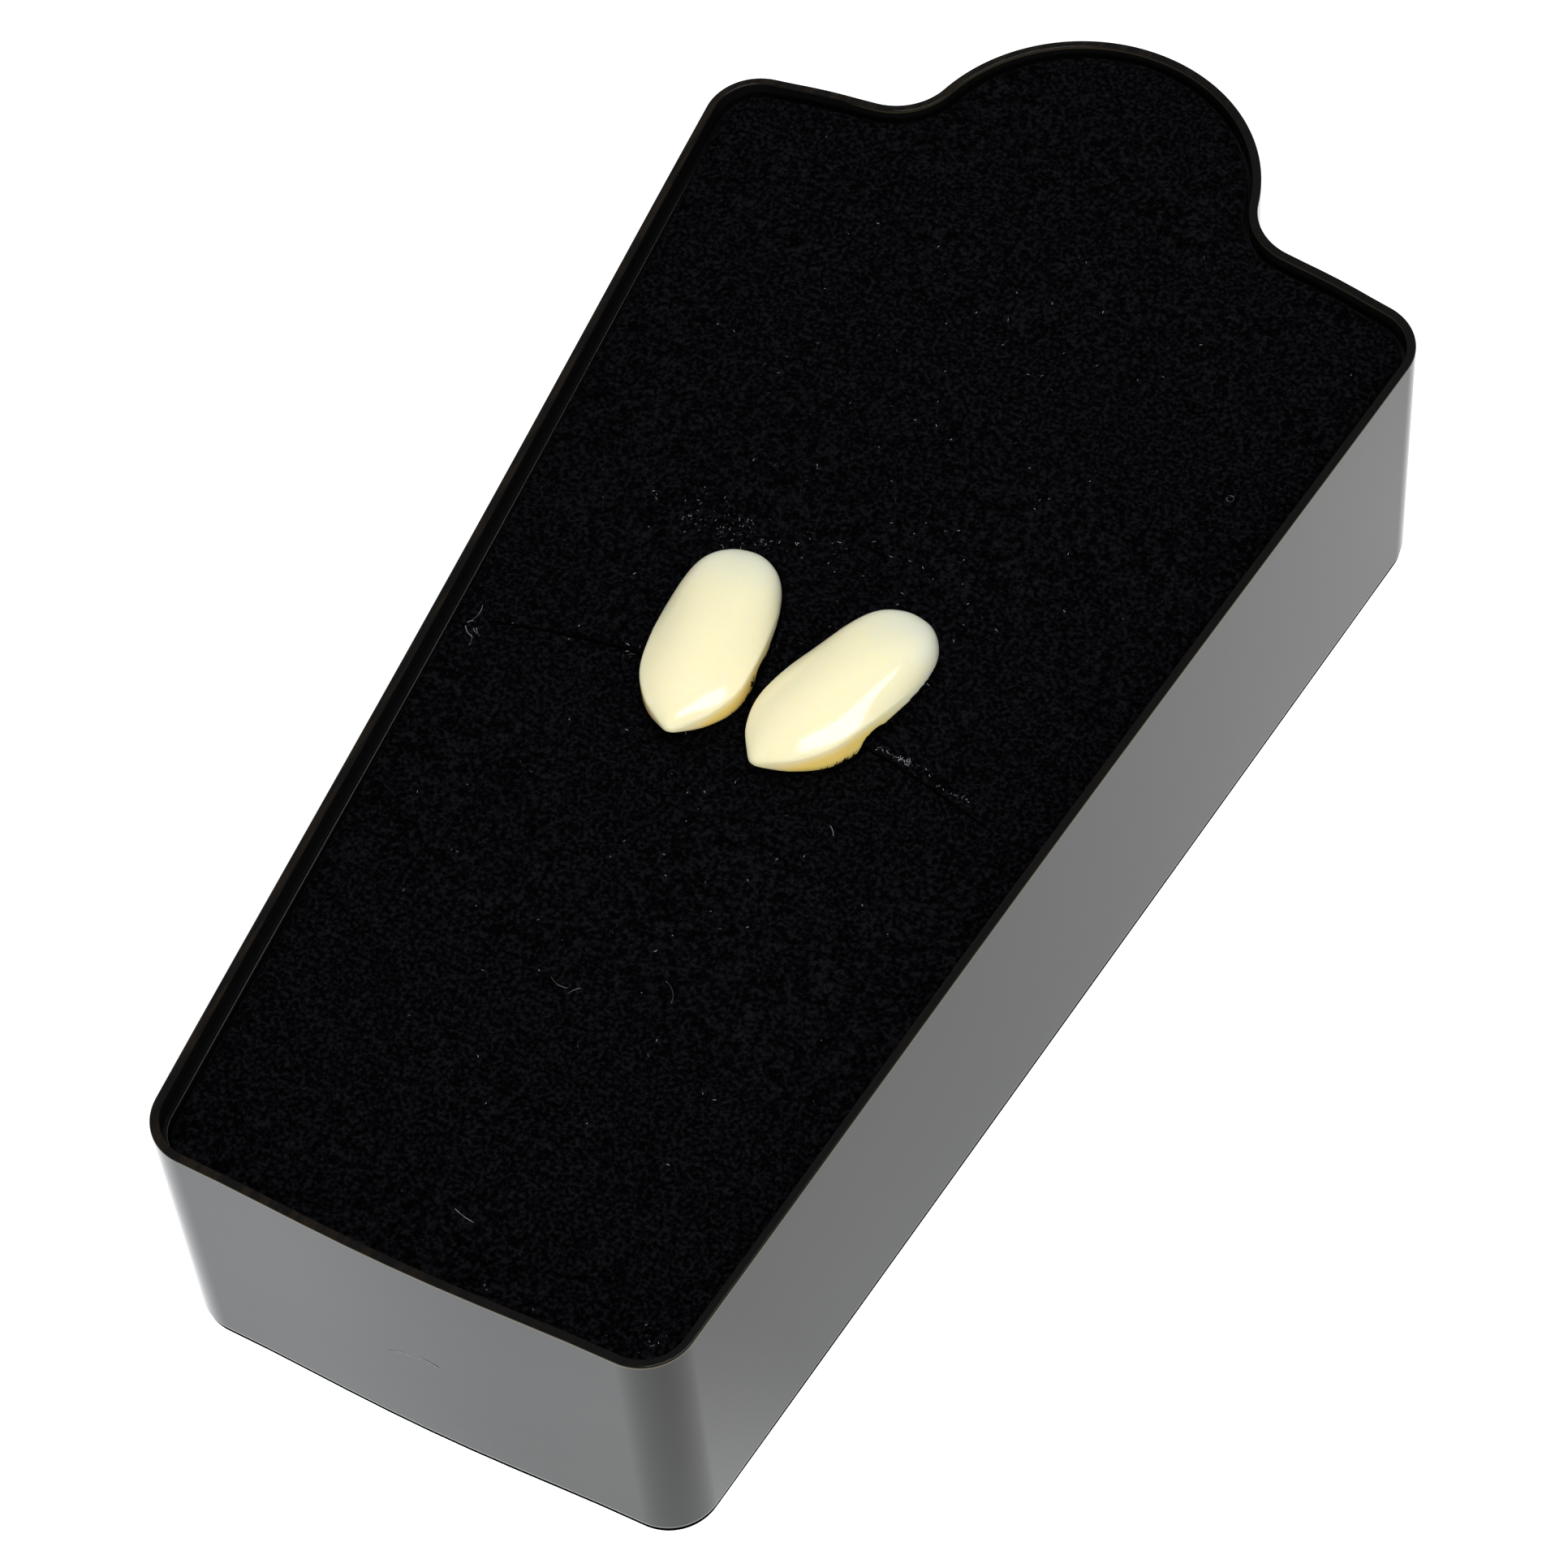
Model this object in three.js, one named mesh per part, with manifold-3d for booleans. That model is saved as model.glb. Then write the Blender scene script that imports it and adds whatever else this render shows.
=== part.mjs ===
// A pair of hollow fang tooth caps, held in the slit of a flocked foam pad, in an open plastic tray
// whose outline is narrow at the foot, wide at the shoulders and rounded by an arch at the head.
// Millimetres, +Z up, foot towards -Y, origin under the middle of the tray on the surface it stands on.

import * as THREE from "three";
import * as BufferGeometryUtils from "three/addons/utils/BufferGeometryUtils.js";
import Module from "manifold-3d";

const wasm = await Module();
wasm.setup();

// Tray outline, measured at the outside of the wall
const shoulderLength = 90; // from the foot edge to the shoulder corners
const footHalfWidth = 18.24;
const shoulderHalfWidth = 26.42;
const shoulderRise = 4.04; // how far the shoulder edges would climb by the middle line
const archRadius = 12.2;
const archRise = 1.6; // of the arch's centre beyond the shoulder corners
const archOffset = -0.4; // the arch stands a little left of the middle line
const neckRadius = 4.2; // hollow rounding where the arch meets the shoulders
const footCornerRadius = 3.5;
const shoulderCornerRadius = 3.8;
const leastCornerRadius = 0.3; // of a corner that is moved inwards
const footBow = 0.4; // the foot edge bulges outwards
const rimSideBow = -0.19; // the long walls give inwards at the rim
const shoulderBow = 0.11;

// Tray wall
const trayHeight = 22;
const wall = 0.6;
const floorThickness = 1.2;
const baseRounding = 0.8;
const rimRounding = 0.15;
const ledgeDrop = 1.7; // from the rim down to the ledge
const ledgeWidth = 0.25;
const floorRounding = 0.6;

// Foam pad
const padGap = 0.3; // clear of the tray all round
const footDrop = 2.0; // pad surface below the rim at the foot edge
const archDrop = 1.1; // pad surface below the rim at the head of the arch
const padEdgeRadius = 0.9;
const slitReach = 45.9; // from the foot edge to the slit on the middle line
const slitHalfLength = 17.8;
const slitOffset = -0.9;
const slitBow = 2.4; // the slit bends towards the head between its ends
const slitWidth = 0.5;
const slitDepth = 9;
const flapRise = 0.8; // the foam behind the slit is lifted by the caps
const flapHalfWidth = 17;
const flapReach = 13;

// Fang caps
const fangLength = 15.4;
const fangHalfWidth = 3.76;
const crownHeight = 2.8; // of the labial face above the gum edge
const heelDepth = 2.6; // of the closed tip below the gum edge
const capWall = 0.75;
const solidTip = 3.4; // from the tip to the hollow
const notchAlong = 7.1; // from the tip to the middle of the side notch
const notchRadius = 1.4;
const notchDrop = 1.15; // middle of the notch below the gum edge
const notchStart = Math.PI * 1.22; // leaves a small beak under the notch
const roundPower = 0.8; // of the sine and cosine in a fully rounded section, over 1 for a pointed one
const creasedSidePower = 0.95;
const creasedTopPower = 1.5;
const heelPower = 0.8;
const seatGap = 0.3; // foam kept clear of the caps

// Sections of a cap from tip to gum end. along is a share of the length, width of the half width,
// rise, flank and level of the crown height, and drop of the heel depth. flank is the height of the
// upright side under the labial face, and crease, from 0 to 1, is how sharply the face turns into it.
const fangSections = [
  { along: 0.0, width: 0.0, rise: 0.0, flank: 0.0, crease: 1.0, drop: 0.0, level: 0.3 },
  { along: 0.03, width: 0.22, rise: 0.2, flank: 0.1, crease: 1.0, drop: 0.2, level: 0.27 },
  { along: 0.117, width: 0.6, rise: 0.48, flank: 0.24, crease: 1.0, drop: 0.48, level: 0.2 },
  { along: 0.25, width: 0.88, rise: 0.76, flank: 0.33, crease: 1.0, drop: 0.84, level: 0.12 },
  { along: 0.413, width: 0.965, rise: 0.94, flank: 0.38, crease: 1.0, drop: 1.0, level: 0.05 },
  { along: 0.587, width: 0.965, rise: 1.0, flank: 0.3, crease: 0.7, drop: 1.0, level: 0.0 },
  { along: 0.75, width: 0.9, rise: 0.92, flank: 0.14, crease: 0.25, drop: 0.9, level: 0.0 },
  { along: 0.883, width: 0.73, rise: 0.72, flank: 0.04, crease: 0.0, drop: 0.72, level: 0.0 },
  { along: 0.97, width: 0.4, rise: 0.4, flank: 0.0, crease: 0.0, drop: 0.4, level: 0.0 },
  { along: 1.0, width: 0.0, rise: 0.0, flank: 0.0, crease: 0.0, drop: 0.0, level: 0.0 },
];

// Where each cap hooks into the slit. across, from the middle line, is a share of the slit's half length,
// back, behind the slit, of the cap's length, lift, above the pad, of the crown height, and lean, how far
// the tip bends sideways, of the cap's half width. turn, pitch and roll are in degrees.
const fangSeats = [
  { name: "fang_left", across: -0.256, back: 0.085, lift: 0.18, turn: 10, pitch: -3, roll: -1, lean: -0.05 },
  { name: "fang_right", across: 0.256, back: 0.1, lift: 0.18, turn: -16, pitch: 0, roll: -6, lean: -0.1 },
];

// Fineness
const cornerSteps = 6;
const neckSteps = 7;
const archSteps = 16;
const edgeSteps = 7;
const roundingSteps = 3;
const fangRings = 20;
const fangSides = 24;
const notchSteps = 8;
const slitSteps = 16;
const flapSides = 28;
const mergeDistance = 1e-5;

const archCentre = shoulderLength + archRise;
const totalLength = footBow + archCentre + archRadius;
const middle = totalLength / 2 - footBow; // from the foot edge to the origin

// Solids

function toManifold(geometry) {
  const bare = geometry.clone();
  bare.deleteAttribute("normal");
  bare.deleteAttribute("uv");
  const merged = BufferGeometryUtils.mergeVertices(bare, mergeDistance);
  const vertProperties = new Float32Array(merged.attributes.position.array);
  const triVerts = new Uint32Array(merged.index.array);
  return new wasm.Manifold(new wasm.Mesh({ numProp: 3, vertProperties, triVerts }));
}

function toGeometry(solid) {
  const mesh = solid.getMesh();
  const geometry = new THREE.BufferGeometry();
  geometry.setAttribute("position", new THREE.BufferAttribute(new Float32Array(mesh.vertProperties), 3));
  geometry.setIndex(new THREE.BufferAttribute(new Uint32Array(mesh.triVerts), 1));
  geometry.computeVertexNormals();
  return geometry;
}

// Closed skin over rings that all have the same number of points. Each end is either the flat cap
// of its ring or, where a pole is given, a fan to that point.
function skin(rings, startPole, endPole) {
  const count = rings[0].length;
  const points = rings.flat();
  const faces = [];
  for (let r = 0; r + 1 < rings.length; r += 1) {
    for (let k = 0; k < count; k += 1) {
      const a = r * count + k;
      const b = r * count + ((k + 1) % count);
      faces.push(a, b, b + count);
      faces.push(a, b + count, a + count);
    }
  }
  closeEnd(points, faces, rings[0], 0, startPole, true);
  closeEnd(points, faces, rings[rings.length - 1], (rings.length - 1) * count, endPole, false);
  const geometry = new THREE.BufferGeometry();
  const flat = points.flatMap((point) => [point.x, point.y, point.z]);
  geometry.setAttribute("position", new THREE.Float32BufferAttribute(flat, 3));
  geometry.setIndex(faces);
  return geometry;
}

function closeEnd(points, faces, ring, first, pole, flipped) {
  const push = (a, b, c) => (flipped ? faces.push(a, c, b) : faces.push(a, b, c));
  if (pole) {
    const tip = points.push(pole) - 1;
    for (let k = 0; k < ring.length; k += 1) {
      push(first + k, first + ((k + 1) % ring.length), tip);
    }
    return;
  }
  const contour = ring.map((point) => new THREE.Vector2(point.x, point.y));
  for (const [a, b, c] of THREE.ShapeUtils.triangulateShape(contour, [])) {
    push(first + a, first + b, first + c);
  }
}

// Tray outline

function bowed(start, end, bow) {
  const direction = end.clone().sub(start).normalize();
  const outward = new THREE.Vector2(direction.y, -direction.x);
  const points = [];
  for (let k = 1; k <= edgeSteps; k += 1) {
    const share = k / (edgeSteps + 1);
    const across = share * 2 - 1;
    const swell = bow * (1 - across * across) ** 2;
    points.push(start.clone().lerp(end, share).addScaledVector(outward, swell));
  }
  return points;
}

function arc(centre, radius, from, to, steps) {
  const points = [];
  for (let k = 0; k <= steps; k += 1) {
    const angle = from + ((to - from) * k) / steps;
    points.push(new THREE.Vector2(Math.cos(angle), Math.sin(angle)).multiplyScalar(radius).add(centre));
  }
  return points;
}

// Rounded corner between the edges that come from before and go on to after
function corner(before, at, after, radius) {
  const back = before.clone().sub(at).normalize();
  const on = after.clone().sub(at).normalize();
  const half = Math.acos(back.dot(on)) / 2;
  const bisector = back.clone().add(on).normalize();
  const centre = at.clone().addScaledVector(bisector, radius / Math.sin(half));
  const touch = at.clone().addScaledVector(back, radius / Math.tan(half)).sub(centre);
  const start = Math.atan2(touch.y, touch.x);
  return arc(centre, radius, start, start + Math.PI - half * 2, cornerSteps);
}

// Where the edges a to b and b to c meet when both are moved inwards by inset
function offsetCrossing(a, b, c, inset) {
  const first = b.clone().sub(a).normalize();
  const second = c.clone().sub(b).normalize();
  const firstIn = new THREE.Vector2(-first.y, first.x);
  const cosine = first.dot(second);
  const sine = first.cross(second);
  return b.clone().addScaledVector(firstIn, inset).addScaledVector(first, (-inset * (1 - cosine)) / sine);
}

// The right half of the outline, from the foot corner to the top of the arch
function outlineSide(inset, bows, offset) {
  const foot = new THREE.Vector2(footHalfWidth, 0);
  const otherFoot = new THREE.Vector2(-footHalfWidth, 0);
  const shoulder = new THREE.Vector2(shoulderHalfWidth, shoulderLength);
  const apex = new THREE.Vector2(0, shoulderLength + shoulderRise);
  const slope = apex.clone().sub(shoulder).normalize();
  const outward = new THREE.Vector2(slope.y, -slope.x);
  const innerFoot = offsetCrossing(otherFoot, foot, shoulder, inset);
  const innerShoulder = offsetCrossing(foot, shoulder, apex, inset);
  const innerOtherFoot = new THREE.Vector2(-innerFoot.x, innerFoot.y);

  const centre = new THREE.Vector2(offset, archCentre);
  const radius = archRadius - inset;
  const neck = neckRadius + inset;
  const height = centre.clone().sub(innerShoulder).dot(outward);
  const along = centre.clone().sub(innerShoulder).dot(slope);
  const reach = Math.sqrt((radius + neck) ** 2 - (height - neck) ** 2);
  const neckCentre = innerShoulder.clone().addScaledVector(outward, neck);
  neckCentre.addScaledVector(slope, along - reach);
  const neckStart = Math.atan2(-outward.y, -outward.x);
  const toArch = centre.clone().sub(neckCentre);
  const neckSweep = ((neckStart - Math.atan2(toArch.y, toArch.x)) + Math.PI * 2) % (Math.PI * 2);
  const neckArc = arc(neckCentre, neck, neckStart, neckStart - neckSweep, neckSteps);
  const archStart = Math.atan2(-toArch.y, -toArch.x);
  const arch = arc(centre, radius, archStart, Math.PI / 2, archSteps).slice(1);

  const footRadius = Math.max(footCornerRadius - inset, leastCornerRadius);
  const footArc = corner(innerOtherFoot, innerFoot, innerShoulder, footRadius);
  const innerApex = innerShoulder.clone().add(slope);
  const shoulderRadius = Math.max(shoulderCornerRadius - inset, leastCornerRadius);
  const shoulderArc = corner(innerFoot, innerShoulder, innerApex, shoulderRadius);
  const sideEdge = bowed(footArc[footArc.length - 1], shoulderArc[0], bows.side);
  const shoulderEdge = bowed(shoulderArc[shoulderArc.length - 1], neckArc[0], bows.shoulder);
  return [...footArc, ...sideEdge, ...shoulderArc, ...shoulderEdge, ...neckArc, ...arch];
}

// The whole outline, anticlockwise from above, moved inwards by inset
function outline(inset, bows) {
  const right = outlineSide(inset, bows, archOffset);
  const left = outlineSide(inset, bows, -archOffset).map((point) => new THREE.Vector2(-point.x, point.y));
  const foot = bowed(left[0], right[0], bows.foot);
  return [...foot, ...right, ...left.reverse().slice(1)];
}

function ringAt(inset, height, bows) {
  return outline(inset, bows).map((point) => new THREE.Vector3(point.x, point.y - middle, height(point.y)));
}

// Tray

function rounding(inset, height, radius, from, to) {
  const steps = [];
  for (let k = 0; k <= roundingSteps; k += 1) {
    const angle = from + ((to - from) * k) / roundingSteps;
    steps.push({ inset: inset + radius * Math.cos(angle), height: height + radius * Math.sin(angle) });
  }
  return steps;
}

function makeTray() {
  const ledgeInset = wall + ledgeWidth;
  const floorInset = ledgeInset + floorRounding;
  const quarter = Math.PI / 2;
  const profile = [
    ...rounding(baseRounding, baseRounding, baseRounding, -quarter, -quarter * 2),
    ...rounding(rimRounding, trayHeight - rimRounding, rimRounding, quarter * 2, quarter),
    ...rounding(wall - rimRounding, trayHeight - rimRounding, rimRounding, quarter, 0),
    { inset: wall, height: trayHeight - ledgeDrop },
    { inset: ledgeInset, height: trayHeight - ledgeDrop },
    ...rounding(floorInset, floorThickness + floorRounding, floorRounding, quarter * 2, quarter * 3),
  ];
  const rings = profile.map((step) => {
    const share = step.height / trayHeight;
    const bows = { foot: footBow, side: rimSideBow * share, shoulder: shoulderBow * share };
    return ringAt(step.inset, () => step.height, bows);
  });
  return skin(rings);
}

// Foam pad

function padTop(along) {
  const share = along / (archCentre + archRadius);
  return trayHeight - footDrop + (footDrop - archDrop) * share;
}

function slitLine(across) {
  const share = (across - slitOffset) / slitHalfLength;
  return slitReach - slitBow * Math.min(share * share, 1);
}

function slitPoints(shift) {
  const points = [];
  for (let k = 0; k <= slitSteps; k += 1) {
    const across = slitOffset - slitHalfLength + (slitHalfLength * 2 * k) / slitSteps;
    points.push(new THREE.Vector2(across, slitLine(across) + shift));
  }
  return points;
}

function upright(points, from, to) {
  const settings = { depth: to - from, bevelEnabled: false };
  const geometry = new THREE.ExtrudeGeometry(new THREE.Shape(points), settings);
  return toManifold(geometry.translate(0, -middle, from));
}

function makeFlap() {
  const rise = new THREE.SphereGeometry(1, flapSides, flapSides / 2);
  const base = padTop(slitReach);
  rise.scale(flapHalfWidth, flapReach, flapRise);
  rise.translate(slitOffset, slitReach - middle, base);
  const behind = [
    ...slitPoints(0),
    new THREE.Vector2(slitOffset + slitHalfLength, slitReach + flapReach),
    new THREE.Vector2(slitOffset - slitHalfLength, slitReach + flapReach),
  ];
  return toManifold(rise).intersect(upright(behind, base - flapRise, base + flapRise));
}

function makePad(seats) {
  const ledgeInset = wall + ledgeWidth + padGap;
  const bows = { foot: footBow, side: rimSideBow, shoulder: shoulderBow };
  const bottom = floorThickness + padGap;
  const rings = [
    ringAt(ledgeInset + floorRounding, () => bottom, bows),
    ringAt(ledgeInset, () => bottom + floorRounding, bows),
  ];
  for (let k = 0; k <= roundingSteps; k += 1) {
    const angle = (Math.PI / 2) * (k / roundingSteps);
    const inset = ledgeInset + padEdgeRadius * (1 - Math.cos(angle));
    const drop = padEdgeRadius * (1 - Math.sin(angle));
    rings.push(ringAt(inset, (along) => padTop(along) - drop, bows));
  }
  const slit = [...slitPoints(-slitWidth / 2), ...slitPoints(slitWidth / 2).reverse()];
  const foam = toManifold(skin(rings)).add(makeFlap());
  const cut = foam.subtract(upright(slit, padTop(slitReach) - slitDepth, trayHeight));
  const hollows = seats.map((seat) => toManifold(seated(capShell(seatGap, seat), seat)));
  return hollows.reduce((pad, hollow) => pad.subtract(hollow), cut);
}

// Fang caps

// Smooth value of one column of the section table, with round ends
function sectionValue(column, along) {
  const turn = (share) => Math.acos(1 - 2 * share);
  const rows = fangSections;
  const last = rows.length - 2;
  let k = 0;
  while (k < last && along > rows[k + 1].along) {
    k += 1;
  }
  const slopeAt = (row) => {
    const before = rows[Math.max(row - 1, 0)];
    const after = rows[Math.min(row + 1, rows.length - 1)];
    return (after[column] - before[column]) / (turn(after.along) - turn(before.along));
  };
  const start = turn(rows[k].along);
  const span = turn(rows[k + 1].along) - start;
  const t = (turn(along) - start) / span;
  const curve = new THREE.CubicBezierCurve(
    new THREE.Vector2(0, rows[k][column]),
    new THREE.Vector2(1 / 3, rows[k][column] + (slopeAt(k) * span) / 3),
    new THREE.Vector2(2 / 3, rows[k + 1][column] - (slopeAt(k + 1) * span) / 3),
    new THREE.Vector2(1, rows[k + 1][column]),
  );
  return curve.getPoint(t).y;
}

function fangBody(size, tipLean) {
  const place = (along) => size.start + along * size.length;
  const rings = [];
  for (let r = 1; r < fangRings; r += 1) {
    const along = (1 - Math.cos((Math.PI * r) / fangRings)) / 2;
    const level = sectionValue("level", along) * crownHeight;
    const width = sectionValue("width", along) * size.halfWidth;
    const rise = sectionValue("rise", along) * size.crown;
    const flank = sectionValue("flank", along) * size.crown;
    const drop = sectionValue("drop", along) * size.heel;
    const crease = sectionValue("crease", along);
    const sidePower = THREE.MathUtils.lerp(roundPower, creasedSidePower, crease);
    const topPower = THREE.MathUtils.lerp(roundPower, creasedTopPower, crease);
    const lean = tipLean * (1 - along) ** 2;
    const ring = [];
    for (let k = 0; k < fangSides; k += 1) {
      const angle = (Math.PI * 2 * k) / fangSides;
      const cosine = Math.abs(Math.cos(angle));
      const sine = Math.abs(Math.sin(angle));
      const above = k < fangSides / 2;
      const side = Math.sign(Math.cos(angle)) * cosine ** (above ? sidePower : heelPower) * width;
      const height = above ? flank + (rise - flank) * sine ** topPower : -drop * sine ** heelPower;
      const middleHeight = k % (fangSides / 2) === 0 ? flank / 2 : height;
      ring.push(new THREE.Vector3(lean - side, place(along), level + middleHeight));
    }
    rings.push(ring);
  }
  const tip = new THREE.Vector3(tipLean, place(0), fangSections[0].level * crownHeight);
  const gum = new THREE.Vector3(0, place(1), 0);
  return toManifold(skin(rings, tip, gum));
}

// What is taken away under the gum edge, behind the notch
function underside(gap) {
  const far = fangLength + fangHalfWidth;
  const below = -fangLength;
  const radius = notchRadius - gap;
  const centre = new THREE.Vector2(notchAlong, -notchDrop);
  const notchEnd = Math.asin(Math.min((notchDrop - gap) / radius, 1));
  const notch = arc(centre, radius, notchStart, notchEnd, notchSteps);
  const side = [
    new THREE.Vector2(notch[0].x, below),
    ...notch,
    new THREE.Vector2(far, -gap),
    new THREE.Vector2(far, below),
  ];
  const across = fangLength * 2;
  const settings = { depth: across, bevelEnabled: false };
  const block = new THREE.ExtrudeGeometry(new THREE.Shape(side.reverse()), settings);
  block.translate(0, 0, -across / 2);
  const frame = new THREE.Matrix4().makeBasis(
    new THREE.Vector3(0, 1, 0),
    new THREE.Vector3(0, 0, 1),
    new THREE.Vector3(1, 0, 0),
  );
  return toManifold(block.applyMatrix4(frame));
}

// One cap, lying labial face up with its tip at the origin, grown by gap on every face
function capShell(gap, seat) {
  const tipLean = fangHalfWidth * seat.lean;
  const outer = fangBody({
    start: -gap,
    length: fangLength + gap * 2,
    halfWidth: fangHalfWidth + gap,
    crown: crownHeight + gap,
    heel: heelDepth + gap,
  }, tipLean);
  const inset = capWall + gap;
  const hollow = fangBody({
    start: solidTip + gap,
    length: fangLength - solidTip - capWall - gap * 2,
    halfWidth: fangHalfWidth - inset,
    crown: crownHeight - inset,
    heel: heelDepth - inset,
  }, tipLean);
  return toGeometry(outer.subtract(hollow).subtract(underside(gap)));
}

function seatMatrix(seat) {
  const across = slitHalfLength * seat.across;
  const along = slitLine(across) + fangLength * seat.back;
  const place = new THREE.Vector3(across, along - middle, padTop(along) + crownHeight * seat.lift);
  const matrix = new THREE.Matrix4().makeTranslation(place);
  const degrees = THREE.MathUtils.degToRad;
  const turns = new THREE.Euler(degrees(seat.pitch), degrees(seat.roll), degrees(seat.turn), "ZXY");
  matrix.multiply(new THREE.Matrix4().makeRotationFromEuler(turns));
  return matrix.multiply(new THREE.Matrix4().makeTranslation(0, -notchAlong, 0));
}

function seated(geometry, seat) {
  return geometry.applyMatrix4(seatMatrix(seat));
}

// Assembly

const glossyBlack = new THREE.MeshStandardMaterial({ color: 0x0c0c0d, roughness: 0.18, metalness: 0 });
const flock = new THREE.MeshStandardMaterial({ color: 0x08080b, roughness: 1, metalness: 0 });
const ivory = new THREE.MeshStandardMaterial({ color: 0xf2e8c4, roughness: 0.25, metalness: 0 });

function piece(name, geometry, material) {
  const mesh = new THREE.Mesh(geometry, material);
  mesh.name = name;
  return mesh;
}

const model = new THREE.Group();
model.add(piece("tray", makeTray(), glossyBlack));
model.add(piece("foam_pad", toGeometry(makePad(fangSeats)), flock));
for (const seat of fangSeats) {
  model.add(piece(seat.name, seated(capShell(0, seat), seat), ivory));
}

export default model;
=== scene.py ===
"""A pair of fang tooth caps in a flocked foam pad and an open black tray, dressed over its CAD frame.

Pieces are modelled in millimetres, because the mesh tools round off at about a tenth of a
millimetre when they work in metres, and are brought to metres when they are finished.
The foot of the tray is towards -Y, its arched head towards +Y, and it stands on Z = 0.
"""

import math
import random
from types import SimpleNamespace

import bmesh
import bpy
from bpy.props import FloatProperty, FloatVectorProperty, PointerProperty
from mathutils import Matrix, Vector, noise
from mathutils.bvhtree import BVHTree


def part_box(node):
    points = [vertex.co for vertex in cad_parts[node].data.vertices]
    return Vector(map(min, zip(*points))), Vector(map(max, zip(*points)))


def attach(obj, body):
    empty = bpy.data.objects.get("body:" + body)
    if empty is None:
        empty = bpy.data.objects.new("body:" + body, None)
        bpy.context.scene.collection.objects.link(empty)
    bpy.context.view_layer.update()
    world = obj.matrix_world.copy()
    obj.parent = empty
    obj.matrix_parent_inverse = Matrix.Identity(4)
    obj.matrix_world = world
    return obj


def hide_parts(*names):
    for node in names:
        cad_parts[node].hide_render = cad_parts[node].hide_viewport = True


bl_info = {
    "name": "Fang caps in a tray",
    "version": (1, 0, 0),
    "blender": (4, 5, 0),
    "location": "View3D > Sidebar > Fang caps",
    "description": "Models a pair of fang tooth caps in a flocked pad and an open tray",
    "category": "Add Mesh",
}

MM = 0.001

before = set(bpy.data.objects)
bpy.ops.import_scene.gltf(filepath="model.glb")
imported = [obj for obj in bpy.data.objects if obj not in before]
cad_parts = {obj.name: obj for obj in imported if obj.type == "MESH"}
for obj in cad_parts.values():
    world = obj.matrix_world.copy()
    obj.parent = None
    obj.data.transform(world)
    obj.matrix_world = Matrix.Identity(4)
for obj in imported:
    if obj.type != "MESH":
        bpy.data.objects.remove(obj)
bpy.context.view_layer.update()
TRAY_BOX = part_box("tray")


# Properties

def length(name, description, millimetres):
    return FloatProperty(
        name=name, description=description, default=millimetres * MM, unit="LENGTH", precision=5
    )


def amount(name, description, default):
    return FloatProperty(name=name, description=description, default=default)


def degrees(name, description, default):
    return FloatProperty(
        name=name, description=description, default=math.radians(default), unit="ROTATION"
    )


def colour(name, description, default):
    return FloatVectorProperty(
        name=name, description=description, default=default, subtype="COLOR", min=0, max=1
    )


class TraySizes(bpy.types.PropertyGroup):
    height: length("Height", "From the underside to the rim", TRAY_BOX[1].z / MM)
    shoulder_length: length("Shoulder length", "From the foot edge to the shoulder corners", 90)
    foot_half_width: length("Foot half width", "Half of the width at the foot", 18.24)
    shoulder_half_width: length("Shoulder half width", "Half of the width at the shoulders", 26.42)
    shoulder_rise: length("Shoulder rise", "Climb of the shoulder edges by the middle line", 4.04)
    arch_radius: length("Arch radius", "Radius of the arched head", 12.2)
    arch_rise: length("Arch rise", "Centre of the arch beyond the shoulder corners", 1.6)
    arch_offset: length("Arch offset", "How far the arch stands to one side", -0.4)
    neck_radius: length("Neck radius", "Hollow rounding between arch and shoulder", 4.2)
    foot_corner: length("Foot corner", "Radius of the corners at the foot", 3.5)
    shoulder_corner: length("Shoulder corner", "Radius of the corners at the shoulders", 3.8)
    least_corner: length("Least corner", "Radius that a corner moved inwards keeps", 0.3)
    foot_bow: length("Foot bow", "Bulge of the foot edge", 0.4)
    side_bow: length("Side bow", "Bulge of the long walls at the rim", -0.19)
    shoulder_bow: length("Shoulder bow", "Bulge of the shoulder edges at the rim", 0.11)
    wall: length("Wall", "Thickness of the wall", 0.6)
    floor: length("Floor", "Thickness of the floor", 1.2)
    ledge_drop: length("Ledge drop", "From the rim down to the ledge", 1.7)
    ledge_width: length("Ledge width", "Width of the ledge inside the wall", 0.25)
    base_rounding: length("Base rounding", "Rounding under the wall", 0.8)
    rim_rounding: length("Rim rounding", "Rounding of the rim", 0.15)


class PadSizes(bpy.types.PropertyGroup):
    gap: length("Gap", "Clearance between the pad and the tray's floor", 0.3)
    side_gap: length("Side gap", "Clearance beside the pad, which bulges against the wall", 0.08)
    foot_drop: length("Foot drop", "Pad surface below the rim at the foot", 2.0)
    arch_drop: length("Arch drop", "Pad surface below the rim at the head", 1.1)
    edge_radius: length("Edge radius", "Rounding of the pad's upper edge", 0.55)
    head_rise: length("Head rise", "Lift of the foam against the rim of the head", 0.65)
    slit_reach: length("Slit reach", "From the foot edge to the slit on the middle line", 45.9)
    slit_half_length: length("Slit half length", "Half of the slit's length", 17.8)
    slit_offset: length("Slit offset", "How far the slit stands to one side", -0.9)
    slit_bow: length("Slit bow", "Bend of the slit towards the head", 2.4)
    slit_width: length("Slit width", "Opening of the slit", 0.2)
    slit_depth: length("Slit depth", "Depth of the slit", 9)
    flap_rise: length("Flap rise", "Lift of the foam behind the slit", 0.8)
    flap_half_width: length("Flap half width", "Half of the lifted foam's width", 17)
    flap_reach: length("Flap reach", "Length of the lifted foam behind the slit", 13)
    mesh_step: length("Mesh step", "Spacing of the cuts across the pad", 1.2)


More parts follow.
